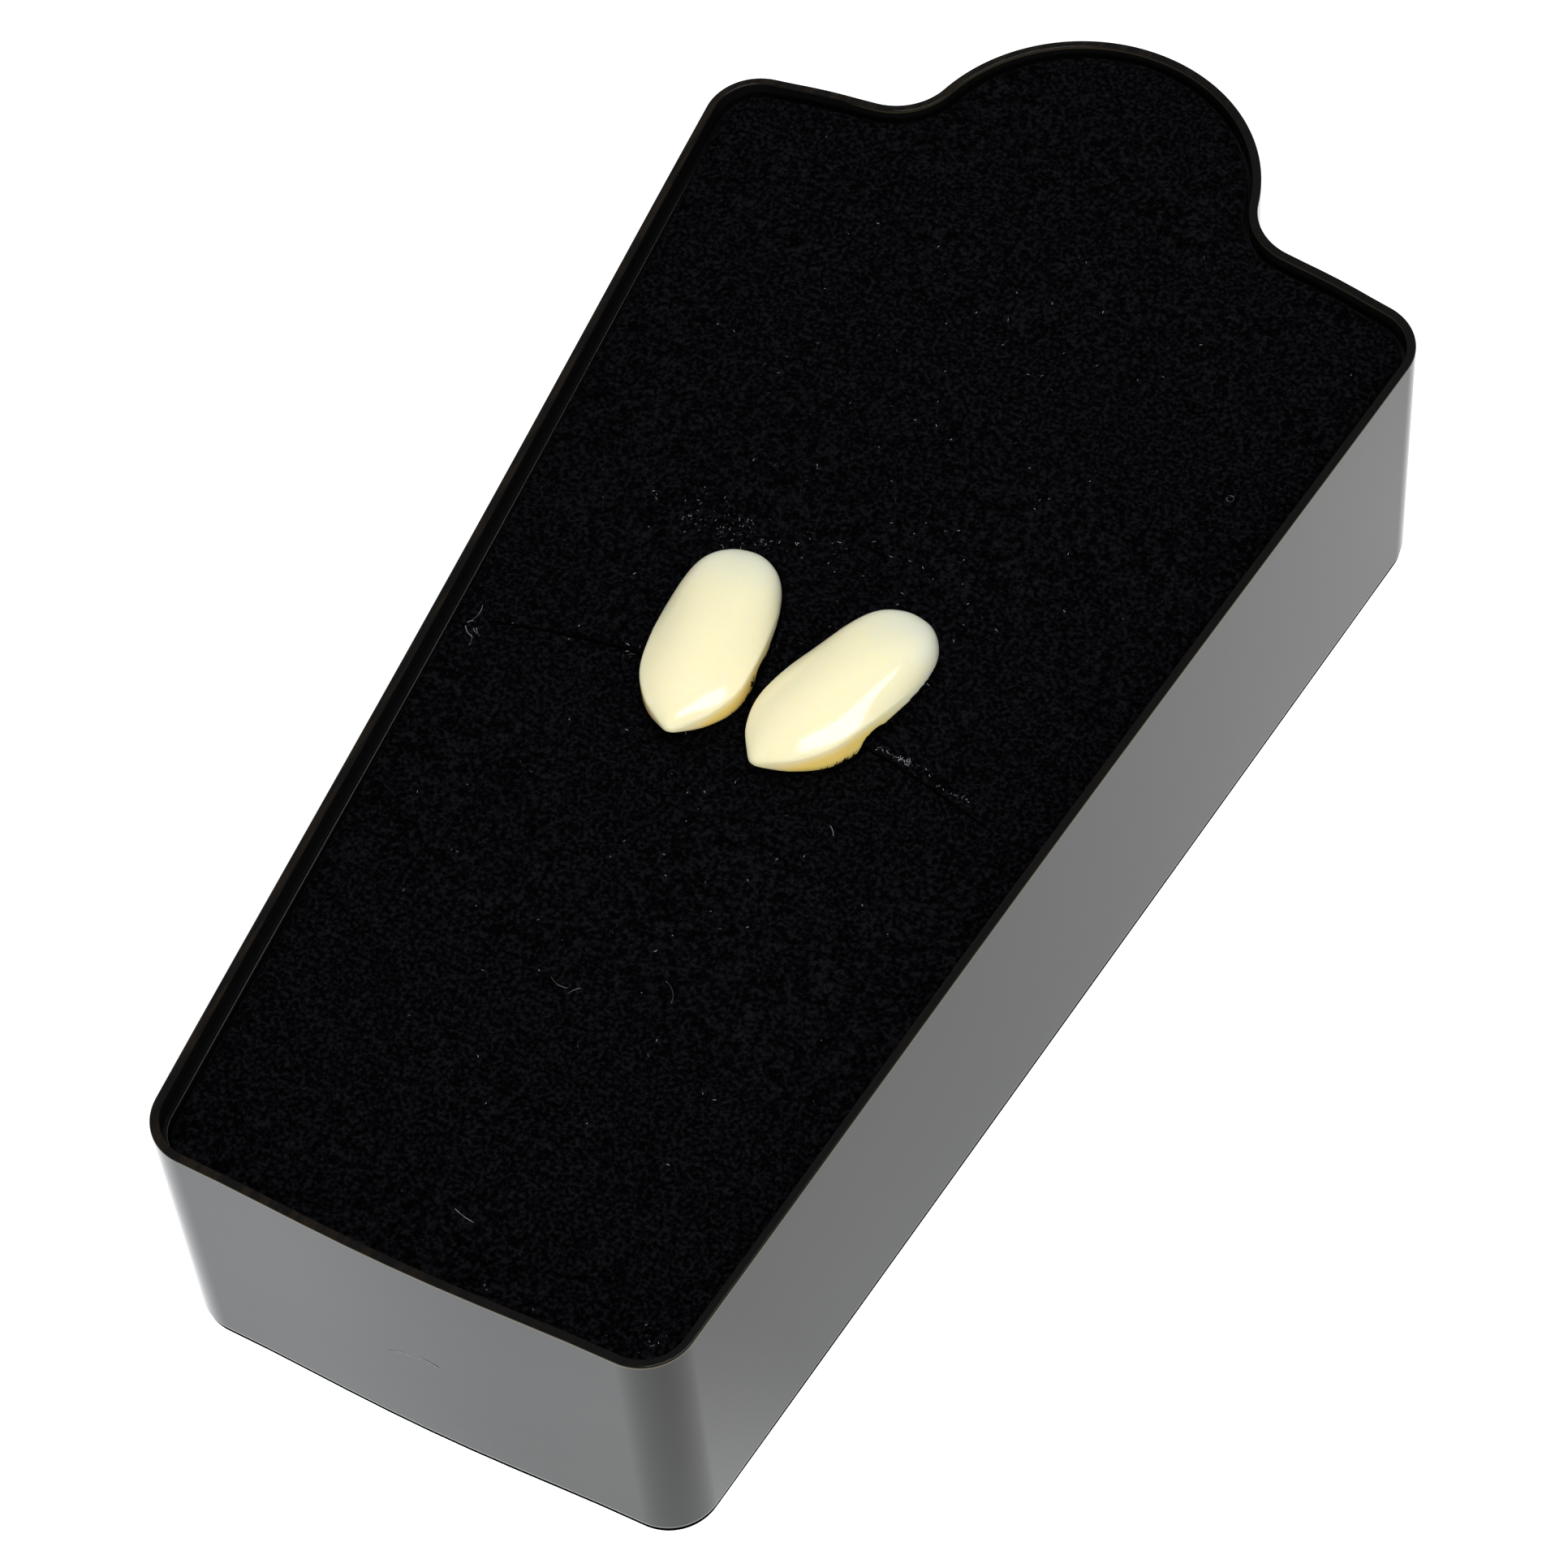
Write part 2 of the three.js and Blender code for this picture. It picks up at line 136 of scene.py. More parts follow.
class CapSizes(bpy.types.PropertyGroup):
    length: length("Length", "From the tip to the gum end", 15.4)
    half_width: length("Half width", "Half of the width across the crown", 3.76)
    crown: length("Crown", "Height of the labial face above the gum edge", 2.8)
    heel: length("Heel", "Depth of the closed tip below the gum edge", 2.6)
    wall: length("Wall", "Thickness of the shell", 0.75)
    solid_tip: length("Solid tip", "From the tip to the hollow", 3.4)
    notch_along: length("Notch along", "From the tip to the middle of the notch", 7.1)
    notch_radius: length("Notch radius", "Radius of the side notch", 1.4)
    notch_drop: length("Notch drop", "Middle of the notch below the gum edge", 1.15)
    seat_gap: length("Seat gap", "Foam kept clear of the caps", 0.3)
    voxel: length("Voxel", "Mesh size of the finished caps", 0.1)


class Finishes(bpy.types.PropertyGroup):
    plastic: colour("Plastic", "Moulded plastic of the tray", (0.004, 0.004, 0.0042))
    # Brown streaks on the top of the rim, browner towards the left end
    plastic_rim: colour("Plastic rim", "Worn brown streaks on the rim", (0.013, 0.0095, 0.006))
    # Painted highlight: a lighter band just under the rim's top, fainter towards the head
    plastic_edge: colour("Plastic edge", "Thin edges that catch the light", (0.075, 0.062, 0.036))
    # Painted highlight: a thin light line along the edge of the ledge
    plastic_ledge: colour("Plastic ledge", "Edge of the ledge inside the wall", (0.12, 0.12, 0.12))
    dust: colour("Dust", "Dust on the tray", (0.35, 0.34, 0.32))
    flock: colour("Flock", "Flock of the pad", (0.0003, 0.0003, 0.0005))
    flock_light: colour("Flock tips", "Lighter fibres of the flock", (0.0062, 0.0064, 0.008))
    lint: colour("Lint", "Lint lying on the pad", (0.2, 0.2, 0.22))
    ivory: colour("Ivory", "Body of the caps", (0.85, 0.79, 0.535))
    gum: colour("Gum end", "Greyer gum end of the caps", (0.71, 0.73, 0.62))
    # Partly the acrylic's own amber and partly painted shade on the heel's flank
    amber: colour("Amber", "Golden heel of the caps", (0.93, 0.68, 0.17))
    table: colour("Table", "Table top under the tray", (0.12, 0.12, 0.12))


class Studio(bpy.types.PropertyGroup):
    turn: degrees("Turn", "Azimuth of the camera from the foot", 33.081)
    tilt: degrees("Tilt", "Height of the camera above the table", 56.284)
    roll: degrees("Roll", "Roll of the camera", -5.832)
    place: FloatVectorProperty(
        name="Place", description="Where the camera stands", subtype="TRANSLATION", unit="LENGTH",
        default=(104.2 * MM, -164.29 * MM, 294.69 * MM), precision=5,
    )
    lens: amount("Lens", "Focal length in millimetres", 121.05)
    # Strength of the table's glow, which is painted light and shadow and no lamp
    painted_table_light: amount("Table glow", "Light that comes up through the table before the foot", 1.9)
    sky: amount("Sky", "Strength of the room's even light", 0.15)
    key: amount("Key", "Power of the softbox behind the tray in watts", 3.85)
    fill: amount("Fill", "Power of the soft light low before the foot in watts", 1.8)
    window: amount("Window", "Power of the window at the right in watts", 1.8)


GROUPS = {
    "fang_tray": TraySizes,
    "fang_pad": PadSizes,
    "fang_caps": CapSizes,
    "fang_finishes": Finishes,
    "fang_studio": Studio,
}

# Sections of a cap from tip to gum end. along is a share of the length, width of the half width,
# rise, flank and level of the crown height, and drop of the heel depth. flank is the height of the
# upright side under the labial face, and crease, from 0 to 1, is how sharply the face turns into it.
CAP_SECTIONS = [
    {"along": 0.0, "width": 0.0, "rise": 0.0, "flank": 0.0, "crease": 1.0, "drop": 0.0, "level": 0.3},
    {"along": 0.03, "width": 0.22, "rise": 0.2, "flank": 0.1, "crease": 1.0, "drop": 0.2, "level": 0.27},
    {"along": 0.117, "width": 0.6, "rise": 0.48, "flank": 0.24, "crease": 1.0, "drop": 0.48, "level": 0.2},
    {"along": 0.25, "width": 0.88, "rise": 0.76, "flank": 0.33, "crease": 1.0, "drop": 0.84, "level": 0.12},
    {"along": 0.413, "width": 0.965, "rise": 0.94, "flank": 0.38, "crease": 1.0, "drop": 1.0, "level": 0.05},
    {"along": 0.587, "width": 0.965, "rise": 1.0, "flank": 0.3, "crease": 0.7, "drop": 1.0, "level": 0.0},
    {"along": 0.75, "width": 0.9, "rise": 0.92, "flank": 0.14, "crease": 0.25, "drop": 0.9, "level": 0.0},
    {"along": 0.883, "width": 0.73, "rise": 0.72, "flank": 0.04, "crease": 0.0, "drop": 0.72, "level": 0.0},
    {"along": 0.97, "width": 0.4, "rise": 0.4, "flank": 0.0, "crease": 0.0, "drop": 0.4, "level": 0.0},
    {"along": 1.0, "width": 0.0, "rise": 0.0, "flank": 0.0, "crease": 0.0, "drop": 0.0, "level": 0.0},
]

# Where each cap hooks into the slit. across is a share of the slit's half length, back of the cap's
# length, lift of the crown height and lean of the cap's half width. The turns are in degrees.
CAP_SEATS = [
    {"name": "left_cap", "node": "fang_left", "across": -0.256, "back": 0.085, "lift": 0.18,
     "turn": 10, "pitch": -3, "roll": -1, "lean": -0.05},
    {"name": "right_cap", "node": "fang_right", "across": 0.256, "back": 0.1, "lift": 0.18,
     "turn": -16, "pitch": 0, "roll": -6, "lean": -0.1},
]

# Powers of the sine and cosine in a section: rounded, or creased where the face meets the flank
ROUND_POWER = 0.8
CREASED_SIDE_POWER = 1.0
CREASED_TOP_POWER = 2.0
HEEL_POWER = 0.8
# Below this sine a point lies on the seam between the labial face and the heel
SEAM_SINE = 0.01
CAP_SIDES = 72
CAP_RINGS = 56
NOTCH_START = math.pi * 1.22
NOTCH_STEPS = 20
# How far the block under the gum edge reaches, as a share of the cap's length
BLOCK_REACH = 1.3

# Points along each stretch of the tray's outline
OUTLINE_STEPS = {
    "foot": 9, "foot_corner": 18, "side": 15, "shoulder_corner": 16, "shoulder": 5, "neck": 14,
    "arch": 40,
}

# Lengths from here to the studio are in millimetres
LEVEL_TOLERANCE = 0.01
SHARP_EDGE = math.radians(60)
# Z part of the normal of a flat top and of any face of the pad's upper side
FLAT_UP = 0.9
SLOPING_UP = 0.2

# The pad's slow waves, the lift towards its head, the flap and the lip before the slit
WAVE_SPACING = 9
WAVE_HEIGHT = 0.12
HEAD_START = 22
HEAD_REACH = 18
FLAP_POWER = 1.2
LIP_HEIGHT = 0.25
LIP_FADE = 9
GRAIN_DENSITY = 1.7
GRAIN_HEIGHT = 0.05
# How far the bend of the slit spreads, the cuts on each side of it, and where the even cuts stop
SLIT_SPREAD = 16
SLIT_CUTS = (0.6, 1.2, 2.2)
SLIT_CLEAR = 2.8

# Radii of the fibres, and the share of it that is left at their tips
SCRATCH_RADIUS = 0.02
LINT_RADIUS = 0.025
FRINGE_RADIUS = 0.035
FIBRE_TIP = 0.5

# A thin scratch on the foot wall, as X and Z
WALL_SCRATCH = [(2.0, 10.64), (1.16, 10.85), (0.27, 10.62), (-0.83, 10.34), (-1.75, 9.73)]


def millimetres(group):
    """The lengths of a property group as plain numbers in millimetres."""
    lengths = [p.identifier for p in group.bl_rna.properties if getattr(p, "unit", "") == "LENGTH"]
    return SimpleNamespace(**{name: getattr(group, name) / MM for name in lengths})


def read_sizes(scene):
    """The lengths of the tray, the pad and the caps in millimetres."""
    return [millimetres(group) for group in (scene.fang_tray, scene.fang_pad, scene.fang_caps)]


# Modelling helpers

def deselect():
    if bpy.context.object and bpy.context.object.mode != "OBJECT":
        bpy.ops.object.mode_set(mode="OBJECT")
    bpy.ops.object.select_all(action="DESELECT")


def activate(piece):
    deselect()
    piece.select_set(True)
    bpy.context.view_layer.objects.active = piece


def added(name):
    """Names the primitive that has just been added."""
    piece = bpy.context.object
    piece.name = name
    piece.data.name = name
    return piece


def choose(piece, kind, wanted):
    """Selects only the edges or faces of the mesh in edit mode that are wanted."""
    bpy.ops.mesh.select_mode(type=kind)
    bpy.ops.mesh.select_all(action="DESELECT")
    mesh = bmesh.from_edit_mesh(piece.data)
    for part in mesh.edges if kind == "EDGE" else mesh.faces:
        if wanted(part):
            part.select_set(True)
    mesh.select_flush_mode()
    bmesh.update_edit_mesh(piece.data)


def extrude(offset):
    bpy.ops.mesh.extrude_region_move(TRANSFORM_OT_translate={"value": offset})


def apply_modifier(piece, kind, **settings):
    activate(piece)
    modifier = piece.modifiers.new(kind.title(), kind)
    for name, value in settings.items():
        setattr(modifier, name, value)
    bpy.ops.object.modifier_apply(modifier=modifier.name)


def cut(piece, tool):
    """Takes the tool's volume away from the piece and deletes the tool."""
    apply_modifier(piece, "BOOLEAN", operation="DIFFERENCE", solver="EXACT", object=tool)
    bpy.data.objects.remove(tool)


def edit_all(piece):
    """Opens the piece in edit mode with everything selected."""
    activate(piece)
    bpy.ops.object.mode_set(mode="EDIT")
    bpy.ops.mesh.select_all(action="SELECT")


def face_outwards(piece):
    edit_all(piece)
    bpy.ops.mesh.normals_make_consistent(inside=False)
    bpy.ops.object.mode_set(mode="OBJECT")


def finish_piece(piece, material, node, angle=math.radians(40)):
    """Brings a piece to metres, smooths it, gives it its material and lets it ride on the body."""
    activate(piece)
    piece.scale = (MM, MM, MM)
    bpy.ops.object.transform_apply(location=True, rotation=True, scale=True)
    bpy.ops.object.shade_smooth_by_angle(angle=angle)
    piece.data.materials.clear()
    piece.data.materials.append(material)
    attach(piece, "root")
    if node:
        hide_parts(node)
    return piece


def filled_outline(name, points, height):
    """A flat face with the given outline, made from a circle with one vertex for each point."""
    deselect()
    bpy.ops.mesh.primitive_circle_add(vertices=len(points), radius=1, fill_type="NGON")
    piece = added(name)
    for vertex, point in zip(piece.data.vertices, points):
        vertex.co = (point.x, point.y, height)
    return piece


# Tray outline

def arc(centre, radius, start, end, steps):
    points = []
    for k in range(steps + 1):
        angle = start + (end - start) * k / steps
        points.append(centre + Vector((math.cos(angle), math.sin(angle))) * radius)
    return points


def bowed(start, end, bow, steps):
    """Points between two corners on an edge that swells outwards by bow."""
    direction = (end - start).normalized()
    outward = Vector((direction.y, -direction.x))
    points = []
    for k in range(1, steps + 1):
        place = k / (steps + 1)
        swell = bow * (1 - (place * 2 - 1) ** 2) ** 2
        points.append(start.lerp(end, place) + outward * swell)
    return points


def corner(before, at, after, radius, steps):
    back = (before - at).normalized()
    on = (after - at).normalized()
    half = math.acos(back.dot(on)) / 2
    centre = at + (back + on).normalized() * radius / math.sin(half)
    touch = at + back * radius / math.tan(half) - centre
    start = math.atan2(touch.y, touch.x)
    return arc(centre, radius, start, start + math.pi - half * 2, steps)


def offset_crossing(a, b, c, inset):
    """Where the edges a to b and b to c meet when both are moved inwards."""
    first = (b - a).normalized()
    second = (c - b).normalized()
    inward = Vector((-first.y, first.x))
    sine = first.x * second.y - first.y * second.x
    return b + inward * inset - first * inset * (1 - first.dot(second)) / sine


def outline_side(tray, inset, bows, offset):
    """The right half of the outline, from the foot corner to the top of the arch."""
    steps = OUTLINE_STEPS
    foot = Vector((tray.foot_half_width, 0))
    shoulder = Vector((tray.shoulder_half_width, tray.shoulder_length))
    apex = Vector((0, tray.shoulder_length + tray.shoulder_rise))
    slope = (apex - shoulder).normalized()
    outward = Vector((slope.y, -slope.x))
    inner_foot = offset_crossing(Vector((-foot.x, 0)), foot, shoulder, inset)
    inner_shoulder = offset_crossing(foot, shoulder, apex, inset)

    centre = Vector((offset, tray.shoulder_length + tray.arch_rise))
    radius = tray.arch_radius - inset
    neck = tray.neck_radius + inset
    height = (centre - inner_shoulder).dot(outward)
    along = (centre - inner_shoulder).dot(slope)
    reach = math.sqrt((radius + neck) ** 2 - (height - neck) ** 2)
    neck_centre = inner_shoulder + outward * neck + slope * (along - reach)
    neck_start = math.atan2(-outward.y, -outward.x)
    to_arch = centre - neck_centre
    sweep = (neck_start - math.atan2(to_arch.y, to_arch.x)) % (math.pi * 2)
    neck_arc = arc(neck_centre, neck, neck_start, neck_start - sweep, steps["neck"])
    arch_start = math.atan2(-to_arch.y, -to_arch.x)
    arch = arc(centre, radius, arch_start, math.pi / 2, steps["arch"])[1:]

    foot_radius = max(tray.foot_corner - inset, tray.least_corner)
    shoulder_radius = max(tray.shoulder_corner - inset, tray.least_corner)
    other_foot = Vector((-inner_foot.x, inner_foot.y))
    on_slope = inner_shoulder + slope
    foot_arc = corner(other_foot, inner_foot, inner_shoulder, foot_radius, steps["foot_corner"])
    shoulder_arc = corner(
        inner_foot, inner_shoulder, on_slope, shoulder_radius, steps["shoulder_corner"]
    )
    side = bowed(foot_arc[-1], shoulder_arc[0], bows["side"], steps["side"])
    shoulder_edge = bowed(shoulder_arc[-1], neck_arc[0], bows["shoulder"], steps["shoulder"])
    return foot_arc + side + shoulder_arc + shoulder_edge + neck_arc + arch


def outline(tray, inset, bows):
    """The whole outline, anticlockwise from above, moved inwards by inset."""
    middle = middle_of(tray)
    right = outline_side(tray, inset, bows, tray.arch_offset)
    left = [Vector((-p.x, p.y)) for p in outline_side(tray, inset, bows, -tray.arch_offset)]
    foot = bowed(left[0], right[0], bows["foot"], OUTLINE_STEPS["foot"])
    return [Vector((p.x, p.y - middle)) for p in foot + right + left[-2::-1]]


def middle_of(tray):
    """From the foot edge to the middle of the tray."""
    total = tray.foot_bow + tray.shoulder_length + tray.arch_rise + tray.arch_radius
    return total / 2 - tray.foot_bow


def rim_bows(tray):
    return {"foot": tray.foot_bow, "side": tray.side_bow, "shoulder": tray.shoulder_bow}


def base_bows(tray):
    return {"foot": tray.foot_bow, "side": 0, "shoulder": 0}


# Tray

def level_edges(height):
    """Edges that turn a corner of the mesh and lie level at that height."""
    def wanted(edge):
        level = all(abs(v.co.z - height) < LEVEL_TOLERANCE for v in edge.verts)
        return level and len(edge.link_faces) == 2 and edge.calc_face_angle() > SHARP_EDGE

    return wanted


def round_edges(piece, roundings):
    """Bevels the level edges at each height by its radius, in so many segments."""
    for height, radius, segments in roundings:
        choose(piece, "EDGE", level_edges(height))
        bpy.ops.mesh.bevel(offset=radius, segments=segments, affect="EDGES")


def make_tray(tray):
    """The open tray, with the edge of its ledge marked for a painted highlight."""
    base = outline(tray, 0, base_bows(tray))
    piece = filled_outline("tray_moulding", base, 0)
    edit_all(piece)
    extrude((0, 0, tray.height))
    mesh = bmesh.from_edit_mesh(piece.data)
    rim = outline(tray, 0, rim_bows(tray))
    top = [v for v in mesh.verts if v.co.z > tray.height / 2]
    for vertex in top:
        flat = vertex.co.xy
        nearest = min(range(len(base)), key=lambda k: (base[k] - flat).length_squared)
        vertex.co.xy = rim[nearest]
    bmesh.update_edit_mesh(piece.data)

    bpy.ops.mesh.normals_make_consistent(inside=False)
    choose(piece, "FACE", lambda face: face.normal.z > FLAT_UP)
    bpy.ops.mesh.inset(thickness=tray.wall, use_even_offset=True)
    extrude((0, 0, -tray.ledge_drop))
    bpy.ops.mesh.inset(thickness=tray.ledge_width, use_even_offset=True)
    extrude((0, 0, tray.floor - tray.height + tray.ledge_drop))

    round_edges(piece, [
        (0, tray.base_rounding, 6),
        (tray.height, tray.rim_rounding, 4),
        (tray.floor, tray.wall, 3),
        (tray.height - tray.ledge_drop, tray.rim_rounding / 3, 2),
    ])
    bpy.ops.object.mode_set(mode="OBJECT")
    face_outwards(piece)
    ledge = piece.data.attributes.new("ledge_edge", "FLOAT", "POINT")
    for k, vertex in enumerate(piece.data.vertices):
        ledge.data[k].value = abs(vertex.co.z - tray.height + tray.ledge_drop) < tray.rim_rounding
    return piece


def make_scratch(tray):
    foot = -middle_of(tray) - tray.foot_bow
    line = [Vector((x, foot, z)) for x, z in WALL_SCRATCH]
    return fibres("wall_scratch", [line], SCRATCH_RADIUS)


# Pad

def slit_share(pad, x):
    return max(-1, min(1, (x - pad.slit_offset) / pad.slit_half_length))


def slit_line(tray, pad, x):
    """Y of the bent slit at x."""
    return pad.slit_reach - pad.slit_bow * slit_share(pad, x) ** 2 - middle_of(tray)


def pad_top(tray, pad, y):
    along = y + middle_of(tray)
    place = along / (tray.shoulder_length + tray.arch_rise + tray.arch_radius)
    return tray.height - pad.foot_drop + (pad.foot_drop - pad.arch_drop) * place


def pad_relief(tray, pad, x, y):
    """Height of the pad's surface over its plain slope: the lifted flap and slow undulations."""
    across = (x - pad.slit_offset) / pad.flap_half_width
    back = (y - slit_line(tray, pad, x)) / pad.flap_reach
    relief = noise.noise(Vector((x, y, 0)) / WAVE_SPACING) * WAVE_HEIGHT
    head = max(0, min(1, (y - HEAD_START) / HEAD_REACH))
    relief += pad.head_rise * head * head * (3 - 2 * head)
    if back > 0:
        relief += pad.flap_rise * max(0, 1 - across ** 2 - back ** 2) ** FLAP_POWER
    else:
        relief += LIP_HEIGHT * math.exp(back * LIP_FADE) * max(0, 1 - across ** 2)
    return relief


def make_pad(tray, pad, seats):
    bottom = tray.floor + pad.gap
    flat_top = tray.height - pad.foot_drop
    inset = tray.wall + tray.ledge_width + pad.side_gap
    points = outline(tray, inset, rim_bows(tray))
    piece = filled_outline("flocked_pad", points, bottom)
    edit_all(piece)
    extrude((0, 0, flat_top - bottom))
    bpy.ops.mesh.select_all(action="SELECT")
    bpy.ops.mesh.normals_make_consistent(inside=False)
    round_edges(piece, [(flat_top, pad.edge_radius, 6), (bottom, tray.wall, 3)])

    slit = pad.slit_reach - middle_of(tray)
    half = pad.slit_width / 2
    ends = [pad.slit_offset - pad.slit_half_length, pad.slit_offset + pad.slit_half_length]
    wide = tray.shoulder_half_width
    long = middle_of(tray) + tray.foot_bow
    before = [slit - reach for reach in reversed(SLIT_CUTS)]
    behind = [slit + reach for reach in SLIT_CUTS]
    near = before + [slit - half, slit + half] + behind
    across_cuts = even_steps(-wide, wide, pad.mesh_step)
    along_cuts = [y for y in even_steps(-long, long, pad.mesh_step) if abs(y - slit) > SLIT_CLEAR]
    cuts = [(Vector((x, 0, 0)), Vector((1, 0, 0))) for x in across_cuts + ends]
    cuts += [(Vector((0, y, 0)), Vector((0, 1, 0))) for y in along_cuts + near]
    for place, normal in cuts:
        choose(piece, "FACE", lambda face: face.normal.z > SLOPING_UP)
        bpy.ops.mesh.bisect(plane_co=place, plane_no=normal)

    choose(piece, "FACE", lambda face: in_slit(face, slit, half, ends))
    extrude((0, 0, -pad.slit_depth))
    bpy.ops.object.mode_set(mode="OBJECT")
    apply_modifier(piece, "SUBSURF", subdivision_type="SIMPLE", levels=1, render_levels=1)

    for vertex in piece.data.vertices:
        x, y, z = vertex.co
        away = (y - slit) / SLIT_SPREAD
        y -= pad.slit_bow * slit_share(pad, x) ** 2 * math.exp(-away * away)
        lift = (z - bottom) / (flat_top - bottom)
        surface = pad_top(tray, pad, y) + pad_relief(tray, pad, x, y) - bottom
        grain = noise.noise(Vector((x, y, z)) * GRAIN_DENSITY) * GRAIN_HEIGHT * lift
        vertex.co = (x, y, bottom + lift * surface + grain)

    for seat in seats:
        cut(piece, seat)
    return piece


def even_steps(start, end, step):
    count = round((end - start) / step)
    return [start + (end - start) * k / count for k in range(1, count)]


def in_slit(face, slit, half, ends):
    centre = face.calc_center_median()
    return face.normal.z > FLAT_UP and abs(centre.y - slit) < half and ends[0] < centre.x < ends[1]


# Fang caps

def section(column, along):
    """Smooth value of one column of the section table, with round ends."""
    rows = CAP_SECTIONS

    def turn(place):
        return math.acos(max(-1, min(1, 1 - 2 * place)))

    def slope(k):
        before, after = rows[max(k - 1, 0)], rows[min(k + 1, len(rows) - 1)]
        return (after[column] - before[column]) / (turn(after["along"]) - turn(before["along"]))

    k = max(i for i in range(len(rows) - 1) if i == 0 or along > rows[i]["along"])
    start, end = turn(rows[k]["along"]), turn(rows[k + 1]["along"])
    span = end - start
    t = (turn(along) - start) / span
    value = (2 * t ** 3 - 3 * t ** 2 + 1) * rows[k][column]
    value += (t ** 3 - 2 * t ** 2 + t) * slope(k) * span
    value += (3 * t ** 2 - 2 * t ** 3) * rows[k + 1][column]
    value += (t ** 3 - t ** 2) * slope(k + 1) * span
    return value


def blended(first, second, factor):
    return first + (second - first) * factor


def fang_body(name, cap, seat, start, span, gap):
    """A closed body with the cap's sections grown by gap, from a sphere whose poles are its ends."""
    half_width = cap.half_width + gap
    crown = cap.crown + gap
    heel = cap.heel + gap
    lean = cap.half_width * seat["lean"]
    deselect()
    bpy.ops.mesh.primitive_uv_sphere_add(segments=CAP_SIDES, ring_count=CAP_RINGS, radius=1)
    piece = added(name)
    for vertex in piece.data.vertices:
        x, y, z = vertex.co
        along = max(0, min(1, (1 - z) / 2))
        reach = math.hypot(x, y) or 1
        cosine, sine = abs(x) / reach, abs(y) / reach
        level = section("level", along) * crown
        width = section("width", along) * half_width
        flank = section("flank", along) * crown
        rise = section("rise", along) * crown
        crease = section("crease", along)
        side_power = blended(ROUND_POWER, CREASED_SIDE_POWER, crease) if y > 0 else HEEL_POWER
        top_power = blended(ROUND_POWER, CREASED_TOP_POWER, crease)
        side = math.copysign(cosine ** side_power, x) * width
        height = flank + (rise - flank) * sine ** top_power
        if y < 0:
            height = -section("drop", along) * heel * sine ** HEEL_POWER
        if sine < SEAM_SINE:
            height = flank / 2
        vertex.co = (lean * (1 - along) ** 2 + side, start + along * span, level + height)
    face_outwards(piece)
    return piece


def underside(cap, gap):
    """The block taken away under the gum edge, behind the notch."""
    radius = cap.notch_radius - gap
    notch_end = math.asin(min((cap.notch_drop - gap) / radius, 1))
    centre = Vector((cap.notch_along, -cap.notch_drop))
    notch = arc(centre, radius, NOTCH_START, notch_end, NOTCH_STEPS)
    far = cap.length * BLOCK_REACH
    below = -cap.length
    side = [Vector((notch[0].x, below))] + notch + [Vector((far, -gap)), Vector((far, below))]
    piece = filled_outline("underside", side, 0)
    for vertex, point in zip(piece.data.vertices, side):
        vertex.co = (-cap.length, point.x, point.y)
    edit_all(piece)
    extrude((cap.length * 2, 0, 0))
    bpy.ops.object.mode_set(mode="OBJECT")
    face_outwards(piece)
    return piece


def cap_solid(name, cap, seat, gap):
    """The outside of a cap, grown by gap on every face, without its hollow."""
    body = fang_body(name, cap, seat, -gap, cap.length + gap * 2, gap)
    cut(body, underside(cap, gap))
    return body


def cap_hollow(cap, seat):
    span = cap.length - cap.solid_tip - cap.wall
    return fang_body("hollow", cap, seat, cap.solid_tip, span, -cap.wall)


def seat_matrix(tray, pad, cap, seat):
    across = pad.slit_half_length * seat["across"]
    along = slit_line(tray, pad, across) + cap.length * seat["back"]
    height = pad_top(tray, pad, along) + cap.crown * seat["lift"]
    turns = Matrix.Identity(4)
    for name, axis in (("turn", "Z"), ("pitch", "X"), ("roll", "Y")):
        turns @= Matrix.Rotation(math.radians(seat[name]), 4, axis)
    place = Matrix.Translation((across, along, height))
    return place @ turns @ Matrix.Translation((0, -cap.notch_along, 0))


def cap_seat(tray, pad, cap, seat):
    """The room that the foam leaves for a cap."""
    piece = cap_solid("seat", cap, seat, cap.seat_gap)
    piece.data.transform(seat_matrix(tray, pad, cap, seat))
    return piece


def make_cap(tray, pad, cap, seat):
    piece = cap_solid(seat["name"], cap, seat, 0)
    cut(piece, cap_hollow(cap, seat))
    apply_modifier(piece, "REMESH", mode="VOXEL", voxel_size=cap.voxel, adaptivity=0)
    apply_modifier(piece, "SMOOTH", factor=0.5, iterations=4)
    along = piece.data.attributes.new("cap_along", "FLOAT", "POINT")
    flank = piece.data.attributes.new("cap_flank", "FLOAT", "POINT")
    for k, vertex in enumerate(piece.data.vertices):
        place = max(0, min(1, vertex.co.y / cap.length))
        ridge = (section("level", place) + section("flank", place)) * cap.crown
        along.data[k].value = place
        flank.data[k].value = ridge - vertex.co.z
    piece.data.transform(seat_matrix(tray, pad, cap, seat))
    return piece


# Fibres

